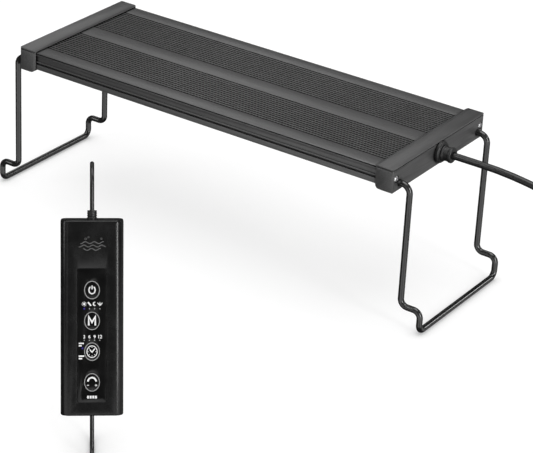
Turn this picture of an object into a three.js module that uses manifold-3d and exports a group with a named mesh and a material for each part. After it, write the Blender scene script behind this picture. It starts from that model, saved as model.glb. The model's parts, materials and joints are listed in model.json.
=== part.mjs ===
// LED aquarium light on two sliding wire brackets, with its inline controller and leads.
//
// Millimetres, +Z up. +X points to the cable end of the light and +Y to its rear side. The origin is
// at the middle of the lens's outer face, where the light comes out. Heights below are given above the
// plane that the brackets stand on, and one group lowers the whole assembly to the origin.

import * as THREE from "three";
import { mergeVertices } from "three/addons/utils/BufferGeometryUtils.js";
import Module from "manifold-3d";

// ---------------------------------------------------------------- driving dimensions

const GAP = 0.3; // clearance between neighbouring pieces

// Light head
const LIGHT_LENGTH = 301.5; // over both end caps
const BODY_LENGTH = 284;
const BODY_TOP = 111; // height of the body's top face above the standing plane
const BODY_HEIGHT = 12.4;
const BODY_HALF_WIDTH = 55.2;
const CENTRE_STRIP_HALF_WIDTH = 7.4;
const RIBS_PER_BANK = 13;
const RIB_WIDTH = 4 / 3; // a groove is as wide as a rib
const RIB_HEIGHT = 1.6;
const ROOF_THICKNESS = 5.2; // from the top face down to the LED chamber
const CHAMBER_HALF_WIDTH = 44;

// Lens and LED board, in the LED chamber
const LENS_THICKNESS = 2;
const LENS_HALF_WIDTH = 45.3;
const LIP_TIP = 43.6; // from the middle plane to the edge of each lip
const LENS_LIP = 1.2; // thickness of the lip that carries the lens
const LENS_REBATE = 0.3; // how far the lens's face stands down between the lips
const SEAL_SIZE = 0.85;
const BOARD_HALF_WIDTH = 42.5;
const BOARD_LENGTH = 278;
const BOARD_THICKNESS = 1;
const LED_ROWS = 6;
const LED_COLUMNS = 13;
const LED_SIZE = new THREE.Vector3(3.5, 2.8, 0.8);

// End caps
const CAP_TOP = BODY_TOP + 1.5;
const CAP_HEIGHT = 16.6;
const CAP_HALF_WIDTH = 56.7;
const CAP_DEPTH = 13.6; // along X
const CAP_CORNER = 1.8; // rounding of the upright edges
const CAP_END_WALL = 2.4;
const CAP_POCKET_DEPTH = 6.5; // how far the pocket for the body and gasket goes in
const CAP_CHAMBER_HALF_WIDTH = 45; // wiring chamber behind the gasket
const CAP_CHAMBER_LEDGE = 1.2;
const GASKET_THICKNESS = 1;

// Cap screws, one at the front and one at the rear of each cap
const CAP_SCREW_Y = 52.4;
const CAP_SCREW_Z = BODY_TOP - 6.2;
const CAP_SCREW = { headRadius: 2.3, headHeight: 1.3, shankRadius: 1, length: 13 };

// Wire brackets
const WIRE_RADIUS = 2.05;
const ROD_Y = 48.7;
const ROD_Z = BODY_TOP - 9.8;
const ROD_INNER_END = 45; // distance of a rod's inner end from the middle of the light
const LEG_OFFSET = 8.05; // from the cap's end face out to the legs
const STEP_OUT = 14.9; // how far the foot steps out from the legs
const STEP_Z = 16.5; // height of the step's centre line
const ROD_BEND = 6;
const FOOT_BEND = 5;

// Gland at the centre of the right cap
const GLAND_Z = BODY_TOP - 6;
const GLAND_STEM_RADIUS = 3.4;
const GLAND_FLANGE_RADIUS = 7.2;
const GLAND_FLANGE_THICKNESS = 2.8;
const NUT_ACROSS_FLATS = 9;
const LIGHT_CABLE_RADIUS = 2.3;
const INNER_LEAD_RADIUS = 0.6;

// Inline controller, in its own frame: X across, Y away from its face, Z along it, and the origin at
// its lower end
const CASE_WIDTH = 35.6;
const CASE_THICKNESS = 19;
const CASE_LENGTH = 111.4;
const CASE_WALL = 1.8;
const CASE_EDGE = 1; // rounding of the two ends
const CASE_POSITION = new THREE.Vector3(96.3, -285.4, BODY_TOP - 85);
const CASE_YAW = 38.35;
const CASE_LEAN = 22.4; // leans back from upright
const CASE_ROLL = -0.65;
const PANEL_HALF_WIDTH = 8.1;
const PANEL_LOW = 7.8;
const PANEL_HIGH = 84.1;
const PANEL_THICKNESS = 0.6;
const BUTTON_HALF_WIDTH = 4.5;
const BUTTON_HALF_HEIGHT = 5.3;
const BUTTON_PROUD = 0.4;
const BUTTON_SIDES = 36;
const FIRST_BUTTON_Z = 19.4;
const BUTTON_PITCH = 17.55;
const BUTTON_NAMES = ["dimmer", "timer", "mode", "power"]; // from the lower end up
const LIGHT_ROW_Z = { timer: 43.4, mode: 61.4 };
const LIGHT_PITCH = 2.93;
const LIGHTS_PER_ROW = 4;
const CASE_SCREW = { headRadius: 1.8, headHeight: 1.4, shankRadius: 0.9, length: 12.5 };
const CASE_SCREW_X = 11.5;
const CASE_SCREW_MARGIN = 8.5; // from each end of the case
const LEAD_RADIUS = 1.25;

// Inside the controller
const CONTROL_BOARD = { width: 26, length: 82, thickness: 1.6, cornerRadius: 1 };
const CONTROL_CHIP = { width: 8, length: 8, height: 1.6 };
const SWITCH_SIZE = 6;

// Loose leads, where they lie
const LOOP_DEPTH = 23; // from the controller's middle plane back to the rising strand
const LOOP_RISE = 31; // from the case's upper end to the top of the loop
const PLUG_LENGTH = 26;
const PLUG_RADIUS = 4.2;
const PLUG_DISTANCE = 42; // from the landing, along the floor
const SOCKET_LENGTH = 28;
const SOCKET_RADIUS = 5.2;
const BARREL_RADIUS = 2.75;
const BARREL_REACH = 9; // how far the plug's barrel goes into its socket
const FLOOR_TURN = new THREE.Vector2(309.4, -138.7);
const LANDING = new THREE.Vector2(276, -12);

// ---------------------------------------------------------------- materials

const finish = (color, roughness, metalness) =>
  new THREE.MeshStandardMaterial({ color, roughness, metalness });

const anodised = finish(0x3a3a3c, 0.45, 0.7);
const capPlastic = finish(0x3c3c3e, 0.5, 0.1);
const blackWire = finish(0x141415, 0.3, 0.4);
const zincSteel = finish(0xb9babc, 0.3, 1);
const blackRubber = finish(0x101011, 0.7, 0);
const cableJacket = finish(0x121213, 0.4, 0);
const clearAcrylic = finish(0xdfe6ea, 0.1, 0);
const boardWhite = finish(0xe9e9e4, 0.5, 0);
const boardGreen = finish(0x1d5a38, 0.5, 0);
const casePlastic = finish(0x1e1e20, 0.45, 0);
const glossBlack = finish(0x0b0b0d, 0.15, 0);
const nickel = finish(0xc8c6bf, 0.25, 1);
const redLead = finish(0xb02a24, 0.5, 0);

// ---------------------------------------------------------------- solids

const wasm = await Module();
wasm.setup();

function solidOf(geometry) {
  const bare = geometry.clone();
  bare.deleteAttribute("normal");
  bare.deleteAttribute("uv");
  const merged = mergeVertices(bare, 1e-4);
  return new wasm.Manifold(
    new wasm.Mesh({
      numProp: 3,
      vertProperties: merged.getAttribute("position").array,
      triVerts: Uint32Array.from(merged.index.array),
    }),
  );
}

function geometryOf(solid) {
  const mesh = solid.getMesh();
  return new THREE.BufferGeometry()
    .setAttribute("position", new THREE.BufferAttribute(mesh.vertProperties, 3))
    .setIndex(new THREE.BufferAttribute(mesh.triVerts, 1));
}

const combine = (operation) => (base, ...others) =>
  geometryOf(others.reduce((solid, other) => solid[operation](solidOf(other)), solidOf(base)));

const join = combine("add");
const cut = combine("subtract");
const common = combine("intersect");

function block(low, high) {
  const size = high.map((value, axis) => value - low[axis]);
  const middle = high.map((value, axis) => (value + low[axis]) / 2);
  return new THREE.BoxGeometry(...size).translate(...middle);
}

function prism(outline, length) {
  return new THREE.ExtrudeGeometry(outline, { depth: length, bevelEnabled: false });
}

// An outline drawn in (Y, Z), extruded along X from start to end.
function prismAlongX(outline, start, end) {
  const sectionToX = new THREE.Matrix4().set(0, 0, 1, 0, 1, 0, 0, 0, 0, 1, 0, 0, 0, 0, 0, 1);
  return prism(outline, end - start).applyMatrix4(sectionToX).translate(start, 0, 0);
}

// An outline drawn in (X, Z), extruded along Y from start to end.
function prismAlongY(outline, start, end) {
  return prism(outline, end - start)
    .rotateX(Math.PI / 2)
    .translate(0, end, 0);
}

// An outline drawn in (X, Y), extruded along Z from start to end.
function prismAlongZ(outline, start, end) {
  return prism(outline, end - start).translate(0, 0, start);
}

function rodAlongX(radius, start, end, y, z, sides = 16) {
  return new THREE.CylinderGeometry(radius, radius, end - start, sides)
    .rotateZ(-Math.PI / 2)
    .translate((start + end) / 2, y, z);
}

function rodAlongY(radius, start, end, x, z, sides = 16) {
  return new THREE.CylinderGeometry(radius, radius, end - start, sides).translate(
    x,
    (start + end) / 2,
    z,
  );
}

function rodAlongZ(radius, start, end, sides = 16) {
  return new THREE.CylinderGeometry(radius, radius, end - start, sides)
    .rotateX(Math.PI / 2)
    .translate(0, 0, (start + end) / 2);
}

// A turned piece: profile points are (radius, distance along the axis), and the axis becomes +X.
function turned(profile, sides = 20) {
  const points = profile.map(([radius, along]) => new THREE.Vector2(radius, along));
  return new THREE.LatheGeometry(points, sides).rotateZ(-Math.PI / 2);
}

// A sleeve with a straight bore: steps are [outer radius, start, end] along the axis.
function sleeve(steps, bore, sides = 20) {
  const outside = steps.flatMap(([radius, start, end]) => [
    [radius, start],
    [radius, end],
  ]);
  const first = steps[0][1];
  const last = steps[steps.length - 1][2];
  return turned([[bore, first], ...outside, [bore, last], [bore, first]], sides);
}

// Points evenly round an arc. Both ends are included.
function arc(x, y, radius, from, to, steps) {
  return Array.from({ length: steps + 1 }, (_, step) => {
    const angle = from + ((to - from) * step) / steps;
    return new THREE.Vector2(x + radius * Math.cos(angle), y + radius * Math.sin(angle));
  });
}

const quarterTurn = Math.PI / 2;

function roundedRectangle(width, height, lowerRadius, upperRadius = lowerRadius, steps = 3) {
  const corners = [
    { x: 1, y: -1, radius: lowerRadius },
    { x: 1, y: 1, radius: upperRadius },
    { x: -1, y: 1, radius: upperRadius },
    { x: -1, y: -1, radius: lowerRadius },
  ];
  const points = corners.flatMap(({ x, y, radius }, index) =>
    arc(
      x * (width / 2 - radius),
      y * (height / 2 - radius),
      radius,
      (index - 1) * quarterTurn,
      index * quarterTurn,
      steps,
    ),
  );
  return new THREE.Shape(points);
}

// An ellipse as an even-sided outline. The turn shifts its points round, as a share of one side.
function ellipse(halfWidth, halfHeight, sideCount, turn = 0) {
  const points = Array.from({ length: sideCount }, (_, index) => {
    const angle = (2 * Math.PI * (index + turn)) / sideCount;
    return new THREE.Vector2(halfWidth * Math.cos(angle), halfHeight * Math.sin(angle));
  });
  return new THREE.Shape(points);
}

// A regular outline whose flats are at the given distance from its middle, with flats facing along
// both axes when the number of sides is a multiple of four.
function regularOutline(flatRadius, sideCount) {
  const cornerRadius = flatRadius / Math.cos(Math.PI / sideCount);
  return ellipse(cornerRadius, cornerRadius, sideCount, 0.5);
}

// A path of straight runs joined by circular bends. Each corner is { point, bend }, bend being the
// radius of the centre line there.
class BentPath extends THREE.Curve {
  constructor(corners, degreesPerStep = 18) {
    super();
    this.stations = [];
    const last = corners.length - 1;
    corners.forEach(({ point, bend }, index) => {
      const arriving = this.direction(corners, Math.max(index, 1));
      const leaving = this.direction(corners, Math.min(index + 1, last));
      if (index === 0 || index === last) {
        this.stations.push({ point, tangent: index ? arriving : leaving });
        return;
      }
      const turn = arriving.angleTo(leaving);
      const inset = bend * Math.tan(turn / 2);
      const start = point.clone().addScaledVector(arriving, -inset);
      const inward = leaving.clone().addScaledVector(arriving, -arriving.dot(leaving)).normalize();
      const steps = Math.ceil(THREE.MathUtils.radToDeg(turn) / degreesPerStep);
      for (let step = 0; step <= steps; step++) {
        const angle = (turn * step) / steps;
        this.stations.push({
          point: start
            .clone()
            .addScaledVector(arriving, bend * Math.sin(angle))
            .addScaledVector(inward, bend * (1 - Math.cos(angle))),
          tangent: arriving
            .clone()
            .multiplyScalar(Math.cos(angle))
            .addScaledVector(inward, Math.sin(angle)),
        });
      }
    });
  }

  direction(corners, index) {
    return corners[index].point.clone().sub(corners[index - 1].point).normalize();
  }

  between(t, key, target) {
    const place = t * (this.stations.length - 1);
    const index = Math.min(Math.floor(place), this.stations.length - 2);
    const [near, far] = [this.stations[index][key], this.stations[index + 1][key]];
    return target.lerpVectors(near, far, place - index);
  }

  getPoint(t, target = new THREE.Vector3()) {
    return this.between(t, "point", target);
  }

  getPointAt(t, target) {
    return this.getPoint(t, target);
  }

  getTangent(t, target = new THREE.Vector3()) {
    return this.between(t, "tangent", target).normalize();
  }

  getTangentAt(t, target) {
    return this.getTangent(t, target);
  }
}

const corner = (x, y, z, bend = 0) => ({ point: new THREE.Vector3(x, y, z), bend });

// Round wire along a path. Its flats touch the true circle and face along the axes where it does.
function wire(corners, radius, sideCount = 12) {
  const path = new BentPath(corners);
  return new THREE.ExtrudeGeometry(regularOutline(radius, sideCount), {
    steps: path.stations.length - 1,
    extrudePath: path,
  });
}

// A cross-head screw along +X: the head's outer face is at 0 and the tip at minus its length.
function crossHeadScrew({ headRadius, headHeight, shankRadius, length }) {
  const crown = headHeight * 0.35;
  const tip = shankRadius * 1.2;
  const turnedScrew = turned(
    [
      [0, -length - headHeight],
      [shankRadius * 0.3, -length - headHeight],
      [shankRadius, tip - length - headHeight],
      [shankRadius, -headHeight],
      [headRadius, -headHeight],
      [headRadius, -crown],
      [headRadius * 0.75, 0],
      [0, 0],
    ],
    16,
  );
  const reach = headRadius * 0.62;
  const slotHalfWidth = headRadius * 0.15;
  const depth = headHeight * 0.55;
  const slot = block([-depth, -reach, -slotHalfWidth], [GAP, reach, slotHalfWidth]);
  return cut(turnedScrew, slot, slot.clone().rotateX(Math.PI / 2));
}

// ---------------------------------------------------------------- scene graph

const lensFace = BODY_TOP - BODY_HEIGHT + LENS_LIP + GAP / 2 - LENS_REBATE;

const aquariumLight = new THREE.Group();
const assembly = new THREE.Group();
assembly.position.z = -lensFace;
aquariumLight.add(assembly);

const controller = new THREE.Group();
controller.position.copy(CASE_POSITION);
controller.rotation.set(
  THREE.MathUtils.degToRad(-CASE_LEAN),
  THREE.MathUtils.degToRad(CASE_ROLL),
  THREE.MathUtils.degToRad(CASE_YAW),
  "ZXY",
);
controller.updateMatrix();
assembly.add(controller);

function piece(name, geometry, material, parent = assembly) {
  const mesh = new THREE.Mesh(geometry, material);
  mesh.name = name;
  parent.add(mesh);
  return mesh;
}

const ends = [
  { name: "left", sign: -1 },
  { name: "right", sign: 1 },
];
const sides = [
  { name: "front", sign: -1 },
  { name: "rear", sign: 1 },
];

// ---------------------------------------------------------------- light head

const bodyBottom = BODY_TOP - BODY_HEIGHT;
const capBottom = CAP_TOP - CAP_HEIGHT;
const capOuter = LIGHT_LENGTH / 2;
const capInner = capOuter - CAP_DEPTH;
const bodyEnd = BODY_LENGTH / 2;
const lensTop = lensFace + LENS_THICKNESS;
const sealTop = lensTop + SEAL_SIZE + GAP;
const chamberTop = BODY_TOP - ROOF_THICKNESS;

// The side of the body below its top edge: an overhanging lip, a bead, a wide recess, a thin bead, a
// groove and the bottom band. Points are [distance in from the side, depth below the top face].
const sideProfile = [
  [0.3, 0],
  [0, 0.15],
  [0, 0.3],
  [1.2, 0.4],
  [1.2, 0.95],
  [0.5, 1.05],
  [0.1, 1.3],
  [0, 1.7],
  [0.1, 2.1],
  [0.5, 2.5],
  [1.1, 2.6],
  [1.1, 6.1],
  [0.3, 6.2],
  [0, 6.5],
  [0, 6.9],
  [0.3, 7.3],
  [1.1, 7.4],
  [1.1, 8.5],
  [0, 8.6],
  [0, BODY_HEIGHT - 0.4],
  [0.4, BODY_HEIGHT],
];

// Half of the body's section, from the middle of the top face round to the middle of the chamber roof.
function bodyHalfSection() {
  const points = [];
  for (let rib = 0; rib <= RIBS_PER_BANK; rib++) {
    const near = CENTRE_STRIP_HALF_WIDTH + 2 * RIB_WIDTH * rib;
    const far = near + RIB_WIDTH;
    const floor = BODY_TOP - RIB_HEIGHT;
    points.push([near, BODY_TOP], [near, floor], [far, floor], [far, BODY_TOP]);
  }
  sideProfile.forEach(([inset, depth]) => points.push([BODY_HALF_WIDTH - inset, BODY_TOP - depth]));
  const grooveDepth = LENS_HALF_WIDTH + GAP;
  points.push([LIP_TIP, bodyBottom], [LIP_TIP, bodyBottom + LENS_LIP]);
  points.push([grooveDepth, bodyBottom + LENS_LIP], [grooveDepth, sealTop]);
  points.push([CHAMBER_HALF_WIDTH, sealTop], [CHAMBER_HALF_WIDTH, chamberTop]);
  return points.map(([y, z]) => new THREE.Vector2(y, z));
}

function heatsinkBody() {
  const half = bodyHalfSection();
  const mirrored = half.map(({ x, y }) => new THREE.Vector2(-x, y)).reverse();
  const section = new THREE.Shape([...half, ...mirrored].reverse());
  const bores = sides.flatMap(({ sign }) => [
    rodAlongX(WIRE_RADIUS + GAP, -bodyEnd - 1, bodyEnd + 1, sign * ROD_Y, ROD_Z),
    rodAlongX(
      CAP_SCREW.shankRadius + GAP,
      -bodyEnd - 1,
      bodyEnd + 1,
      sign * CAP_SCREW_Y,
      CAP_SCREW_Z,
      12,
    ),
  ]);
  return cut(prismAlongX(section, -bodyEnd, bodyEnd), ...bores);
}

function ledBoard() {
  const top = chamberTop - GAP;
  const underside = top - BOARD_THICKNESS;
  const halfLength = BOARD_LENGTH / 2;
  const board = block([-halfLength, -BOARD_HALF_WIDTH, underside], [halfLength, BOARD_HALF_WIDTH, top]);
  const rowPitch = (2 * BOARD_HALF_WIDTH) / LED_ROWS;
  const columnPitch = BOARD_LENGTH / LED_COLUMNS;
  const sunk = 0.1;
  const chips = [];
  for (let row = 0; row < LED_ROWS; row++) {
    for (let column = 0; column < LED_COLUMNS; column++) {
      const chip = new THREE.BoxGeometry(LED_SIZE.x, LED_SIZE.y, LED_SIZE.z + sunk);
      const x = (column + 0.5) * columnPitch - halfLength;
      const y = (row + 0.5) * rowPitch - BOARD_HALF_WIDTH;
      chips.push(chip.translate(x, y, underside + (sunk - LED_SIZE.z) / 2));
    }
  }
  return join(board, ...chips);
}

// The lens's edges slide in the body's grooves, and its face stands down between the lips and the caps.
function lensPanel() {
  const sheetThickness = LENS_THICKNESS - LENS_REBATE;
  const outline = roundedRectangle(2 * LENS_HALF_WIDTH, sheetThickness, 0.3);
  const sheet = prismAlongX(outline, GAP - bodyEnd, bodyEnd - GAP);
  sheet.translate(0, 0, lensTop - sheetThickness / 2);
  const faceHalfLength = capInner - GAP;
  const faceHalfWidth = LIP_TIP - GAP;
  const face = block(
    [-faceHalfLength, -faceHalfWidth, lensFace],
    [faceHalfLength, faceHalfWidth, lensTop - 0.5],
  );
  return join(sheet, face);
}

function lensSeal(sign) {
  const outer = LENS_HALF_WIDTH;
  const inner = outer - 1.3;
  const [low, high] = sign < 0 ? [-outer, -inner] : [inner, outer];
  const underside = lensTop + GAP / 2;
  return block([GAP - bodyEnd, low, underside], [bodyEnd - GAP, high, underside + SEAL_SIZE]);
}

piece("heatsink_body", heatsinkBody(), anodised);
piece("led_board", ledBoard(), boardWhite);
piece("lens_panel", lensPanel(), clearAcrylic);
sides.forEach(({ name, sign }) => piece("lens_seal_" + name, lensSeal(sign), blackRubber));

// ---------------------------------------------------------------- end caps, gaskets and cap screws

// The rim of a cap: the edge of its top plate, a shadow groove and a rounded shoulder. Points are
// [distance in from the face, depth below the top].
const sideRim = [
  [0.4, 0],
  [0, 0.3],
  [0, 0.5],
  [0.8, 0.6],
  [0.8, 1.7],
  [0.6, 1.8],
  [0.25, 2.15],
  [0.08, 2.7],
  [0, 3.4],
];
const endRim = [
  [0.4, 0],
  [0, 0.3],
  [0, 0.45],
  [0.7, 0.55],
  [0.7, 1],
  [0.1, 1.15],
  [0, 1.4],
];

// Section across the light, in (Y, Z).
function capCrossSection() {
  const lowerCorner = 0.8;
  const rightHalf = sideRim.map(([inset, depth]) => [CAP_HALF_WIDTH - inset, CAP_TOP - depth]);
  rightHalf.push([CAP_HALF_WIDTH, capBottom + lowerCorner], [CAP_HALF_WIDTH - lowerCorner, capBottom]);
  const leftHalf = rightHalf.map(([y, z]) => [-y, z]).reverse();
  const points = [...rightHalf, ...leftHalf].map(([y, z]) => new THREE.Vector2(y, z));
  return new THREE.Shape(points.reverse());
}

// Section along the light, in (X, Z), for the right cap: a low wall and a bevel towards the body at
// the top, and a rounding towards it below.
function capLongSection() {
  const bevel = new THREE.Vector2(1.6, 0.6);
  const lowerRadius = 5;
  const lowerCorner = 0.5;
  const rim = endRim.map(([inset, depth]) => new THREE.Vector2(capOuter - inset, CAP_TOP - depth));
  return new THREE.Shape([
    new THREE.Vector2(capInner, CAP_TOP - bevel.y),
    ...arc(capInner + lowerRadius, capBottom + lowerRadius, lowerRadius, Math.PI, 3 * quarterTurn, 5),
    new THREE.Vector2(capOuter - lowerCorner, capBottom),
    new THREE.Vector2(capOuter, capBottom + lowerCorner),
    ...rim.reverse(),
    new THREE.Vector2(capInner + bevel.x, CAP_TOP),
  ]);
}

// The right cap, with its pocket, wiring chamber and the holes for the rods and screws.
function rightCap(hasGland) {
  const plan = roundedRectangle(CAP_DEPTH, 2 * CAP_HALF_WIDTH, CAP_CORNER);
  const outside = common(
    prismAlongX(capCrossSection(), capInner - 1, capOuter + 1),
    prismAlongY(capLongSection(), -CAP_HALF_WIDTH - 1, CAP_HALF_WIDTH + 1),
    prismAlongZ(plan, capBottom - 1, CAP_TOP + 1).translate(capOuter - CAP_DEPTH / 2, 0, 0),
  );
  const pocketHalf = BODY_HALF_WIDTH + GAP;
  const pocketEnd = capInner + CAP_POCKET_DEPTH;
  const pocket = block(
    [capInner - 1, -pocketHalf, bodyBottom - GAP],
    [pocketEnd, pocketHalf, BODY_TOP + GAP],
  );
  const chamber = block(
    [pocketEnd - 1, -CAP_CHAMBER_HALF_WIDTH, bodyBottom + CAP_CHAMBER_LEDGE],
    [capOuter - CAP_END_WALL, CAP_CHAMBER_HALF_WIDTH, BODY_TOP - CAP_CHAMBER_LEDGE],
  );
  const holes = sides.flatMap(({ sign }) => [
    rodAlongX(WIRE_RADIUS + GAP, capInner, capOuter + 1, sign * ROD_Y, ROD_Z),
    rodAlongX(
      CAP_SCREW.shankRadius + GAP,
      capInner,
      capOuter + 1,
      sign * CAP_SCREW_Y,
      CAP_SCREW_Z,
      12,
    ),
    rodAlongX(
      CAP_SCREW.headRadius + GAP,
      capOuter - CAP_SCREW.headHeight,
      capOuter + 1,
      sign * CAP_SCREW_Y,
      CAP_SCREW_Z,
    ),
  ]);
  if (hasGland) holes.push(rodAlongX(GLAND_STEM_RADIUS + GAP, capInner, capOuter + 1, 0, GLAND_Z, 20));
  return cut(outside, pocket, chamber, ...holes);
}

function gasket(sign) {
  const outline = roundedRectangle(2 * BODY_HALF_WIDTH, BODY_HEIGHT - 0.4, 0.5);
  const middle = BODY_TOP - BODY_HEIGHT / 2;
  const opening = roundedRectangle(
    2 * (CAP_CHAMBER_HALF_WIDTH - 1),
    BODY_HEIGHT - 2 * CAP_CHAMBER_LEDGE - 1,
    0.5,
  );
  const start = bodyEnd + GAP;
  const sheet = prismAlongX(outline, start, start + GASKET_THICKNESS).translate(0, 0, middle);
  const window = prismAlongX(opening, start - 1, start + 2).translate(0, 0, middle);
  const holes = sides.flatMap((side) => [
    rodAlongX(WIRE_RADIUS + GAP, start - 1, start + 2, side.sign * ROD_Y, ROD_Z),
    rodAlongX(
      CAP_SCREW.shankRadius + GAP,
      start - 1,
      start + 2,
      side.sign * CAP_SCREW_Y,
      CAP_SCREW_Z,
      12,
    ),
  ]);
  const rightGasket = cut(sheet, window, ...holes);
  return sign > 0 ? rightGasket : rightGasket.rotateZ(Math.PI);
}

ends.forEach((end) => {
  const cap = rightCap(end.sign > 0);
  piece("end_cap_" + end.name, end.sign > 0 ? cap : cap.rotateZ(Math.PI), capPlastic);
  piece("end_gasket_" + end.name, gasket(end.sign), blackRubber);
  sides.forEach((side) => {
    const screw = crossHeadScrew(CAP_SCREW).translate(capOuter + GAP, 0, CAP_SCREW_Z);
    if (end.sign < 0) screw.rotateZ(Math.PI);
    screw.translate(0, side.sign * CAP_SCREW_Y, 0);
    piece("cap_screw_" + end.name + "_" + side.name, screw, zincSteel);
  });
});

// ---------------------------------------------------------------- wire brackets

// One wire: a rod in the front channel, down the front leg, out over the step, down to the foot bar,
// across it, and back the same way on the rear side.
function bracketWire(sign) {
  const legX = sign * (capOuter + LEG_OFFSET);
  const footX = legX + sign * STEP_OUT;
  const frontHalf = [
    [sign * ROD_INNER_END, ROD_Z, 0],
    [legX, ROD_Z, ROD_BEND],
    [legX, STEP_Z, FOOT_BEND],
    [footX, STEP_Z, FOOT_BEND],
    [footX, WIRE_RADIUS, FOOT_BEND],
  ];
  const corners = frontHalf.map(([x, z, bend]) => corner(x, -ROD_Y, z, bend));
  const rearHalf = frontHalf.map(([x, z, bend]) => corner(x, ROD_Y, z, bend)).reverse();
  return wire([...corners, ...rearHalf], WIRE_RADIUS);
}

ends.forEach(({ name, sign }) => piece("bracket_" + name, bracketWire(sign), blackWire));

// ---------------------------------------------------------------- gland and light cable

const cableBore = LIGHT_CABLE_RADIUS + GAP;
const chamberEnd = capOuter - CAP_END_WALL;
const glandFace = capOuter + GAP;

// A stem through the cap's end wall, and a flange outside it with a stepped rim.
function glandBody() {
  const stemStart = chamberEnd - 3;
  const rimStep = 0.6;
  const flangeEnd = glandFace + GLAND_FLANGE_THICKNESS;
  return sleeve(
    [
      [GLAND_STEM_RADIUS, stemStart, glandFace],
      [GLAND_FLANGE_RADIUS, glandFace, flangeEnd - rimStep],
      [GLAND_FLANGE_RADIUS - rimStep, flangeEnd - rimStep, flangeEnd],
    ],
    cableBore,
    28,
  ).translate(0, 0, GLAND_Z);
}

function glandNut() {
  const hexagon = regularOutline(NUT_ACROSS_FLATS / 2, 6);
  const nutEnd = chamberEnd - GAP;
  const nut = prismAlongX(hexagon, nutEnd - 2, nutEnd);
  const bore = rodAlongX(GLAND_STEM_RADIUS + GAP, nutEnd - 3, nutEnd + 1, 0, 0, 20);
  return cut(nut, bore).rotateX(quarterTurn).translate(0, 0, GLAND_Z);
}

// A tapered neck that ends in a collar round the cable.
function strainRelief() {
  const start = glandFace + GLAND_FLANGE_THICKNESS + GAP;
  const [footRadius, neckRadius, collarRadius] = [5.2, 4.4, 4.9];
  return sleeve(
    [
      [footRadius, start, start + 0.5],
      [neckRadius, start + 1.6, start + 4.4],
      [collarRadius, start + 4.8, start + 6.3],
      [collarRadius - 0.5, start + 6.7, start + 6.8],
    ],
    cableBore,
    24,
  ).translate(0, 0, GLAND_Z);
}

piece("gland_body", glandBody(), blackRubber);
piece("gland_nut", glandNut(), nickel);
piece("strain_relief", strainRelief(), blackRubber);

// The height of a lead's centre line where it lies on the standing plane.
const lying = (radius) => radius * 1.08;

const floorRun = FLOOR_TURN.clone().sub(LANDING).normalize();
const alongFloorRun = (distance) => LANDING.clone().addScaledVector(floorRun, distance);

// The cable leaves the gland level, sags, lands beside the light and ends in the inline plug.
function lightCable() {
  const plug = alongFloorRun(PLUG_DISTANCE + 2);
  const sagStart = capOuter + 54;
  const dropX = capOuter + 112;
  const dropZ = GLAND_Z - 11.3;
  return wire(
    [
      corner(bodyEnd + 3.4, 0, GLAND_Z),
      corner(sagStart, 0, GLAND_Z, 240),
      corner(dropX, 0, dropZ, 24),
      corner(LANDING.x, LANDING.y, lying(LIGHT_CABLE_RADIUS), 20),
      corner(...alongFloorRun(PLUG_DISTANCE - 14), lying(LIGHT_CABLE_RADIUS), 20),
      corner(...alongFloorRun(PLUG_DISTANCE - 2), SOCKET_RADIUS, 8),
      corner(plug.x, plug.y, SOCKET_RADIUS),
    ],
    LIGHT_CABLE_RADIUS,
  );
}

// A thin lead from the cable's cut end, through the gasket's opening, to a pad under the LED board.
function innerLead(sign) {
  const padZ = chamberTop - BOARD_THICKNESS - 2 * GAP - INNER_LEAD_RADIUS;
  return wire(
    [
      corner(bodyEnd + 3.1, sign * 0.9, GLAND_Z - 0.3),
      corner(bodyEnd + 1.6, sign * 1.6, GLAND_Z - 0.9, 1),
      corner(bodyEnd - 1, sign * 3.4, padZ, 1.5),
      corner(bodyEnd - 8, sign * 5, padZ),
    ],
    INNER_LEAD_RADIUS,
    8,
  );
}

piece("light_cable", lightCable(), cableJacket);
piece("lead_positive", innerLead(1), redLead);
piece("lead_negative", innerLead(-1), cableJacket);

// ---------------------------------------------------------------- inline plug and socket

// Turns a piece made along +X to lie along the floor run, with its start at a distance along it.
function onFloorRun(geometry, distance) {
  const start = alongFloorRun(distance);
  const heading = Math.atan2(floorRun.y, floorRun.x);
  return geometry.rotateZ(heading).translate(start.x, start.y, SOCKET_RADIUS);
}

function inlinePlug() {
  const grip = sleeve(
    [
      [PLUG_RADIUS - 1, 0, 1],
      [PLUG_RADIUS, 7, PLUG_LENGTH],
    ],
    LIGHT_CABLE_RADIUS + GAP,
  );
  return onFloorRun(grip, PLUG_DISTANCE);
}

function inlineSocket() {
  const grip = turned([
    [BARREL_RADIUS + GAP, 0],
    [SOCKET_RADIUS, 0],
    [SOCKET_RADIUS, SOCKET_LENGTH - 9],
    [2.4, SOCKET_LENGTH - 1],
    [2.4, SOCKET_LENGTH],
    [LEAD_RADIUS + GAP, SOCKET_LENGTH],
    [LEAD_RADIUS + GAP, BARREL_REACH + 4],
    [BARREL_RADIUS + GAP, BARREL_REACH + 3],
    [BARREL_RADIUS + GAP, 0],
  ]);
  return onFloorRun(grip, PLUG_DISTANCE + PLUG_LENGTH + GAP);
}

// The plug's metal barrel: hollow, held in the plug's grip, and reaching into the socket.
function plugBarrel() {
  const held = LIGHT_CABLE_RADIUS;
  const barrel = turned([
    [1.2, PLUG_LENGTH - 12],
    [held, PLUG_LENGTH - 12],
    [held, PLUG_LENGTH + GAP / 2],
    [BARREL_RADIUS, PLUG_LENGTH + GAP / 2],
    [BARREL_RADIUS, PLUG_LENGTH + BARREL_REACH],
    [1.2, PLUG_LENGTH + BARREL_REACH],
    [1.2, PLUG_LENGTH - 12],
  ]);
  return onFloorRun(barrel, PLUG_DISTANCE);
}

piece("inline_plug", inlinePlug(), cableJacket);
piece("inline_plug_barrel", plugBarrel(), nickel);
piece("inline_socket", inlineSocket(), cableJacket);

// ---------------------------------------------------------------- controller case

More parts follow.
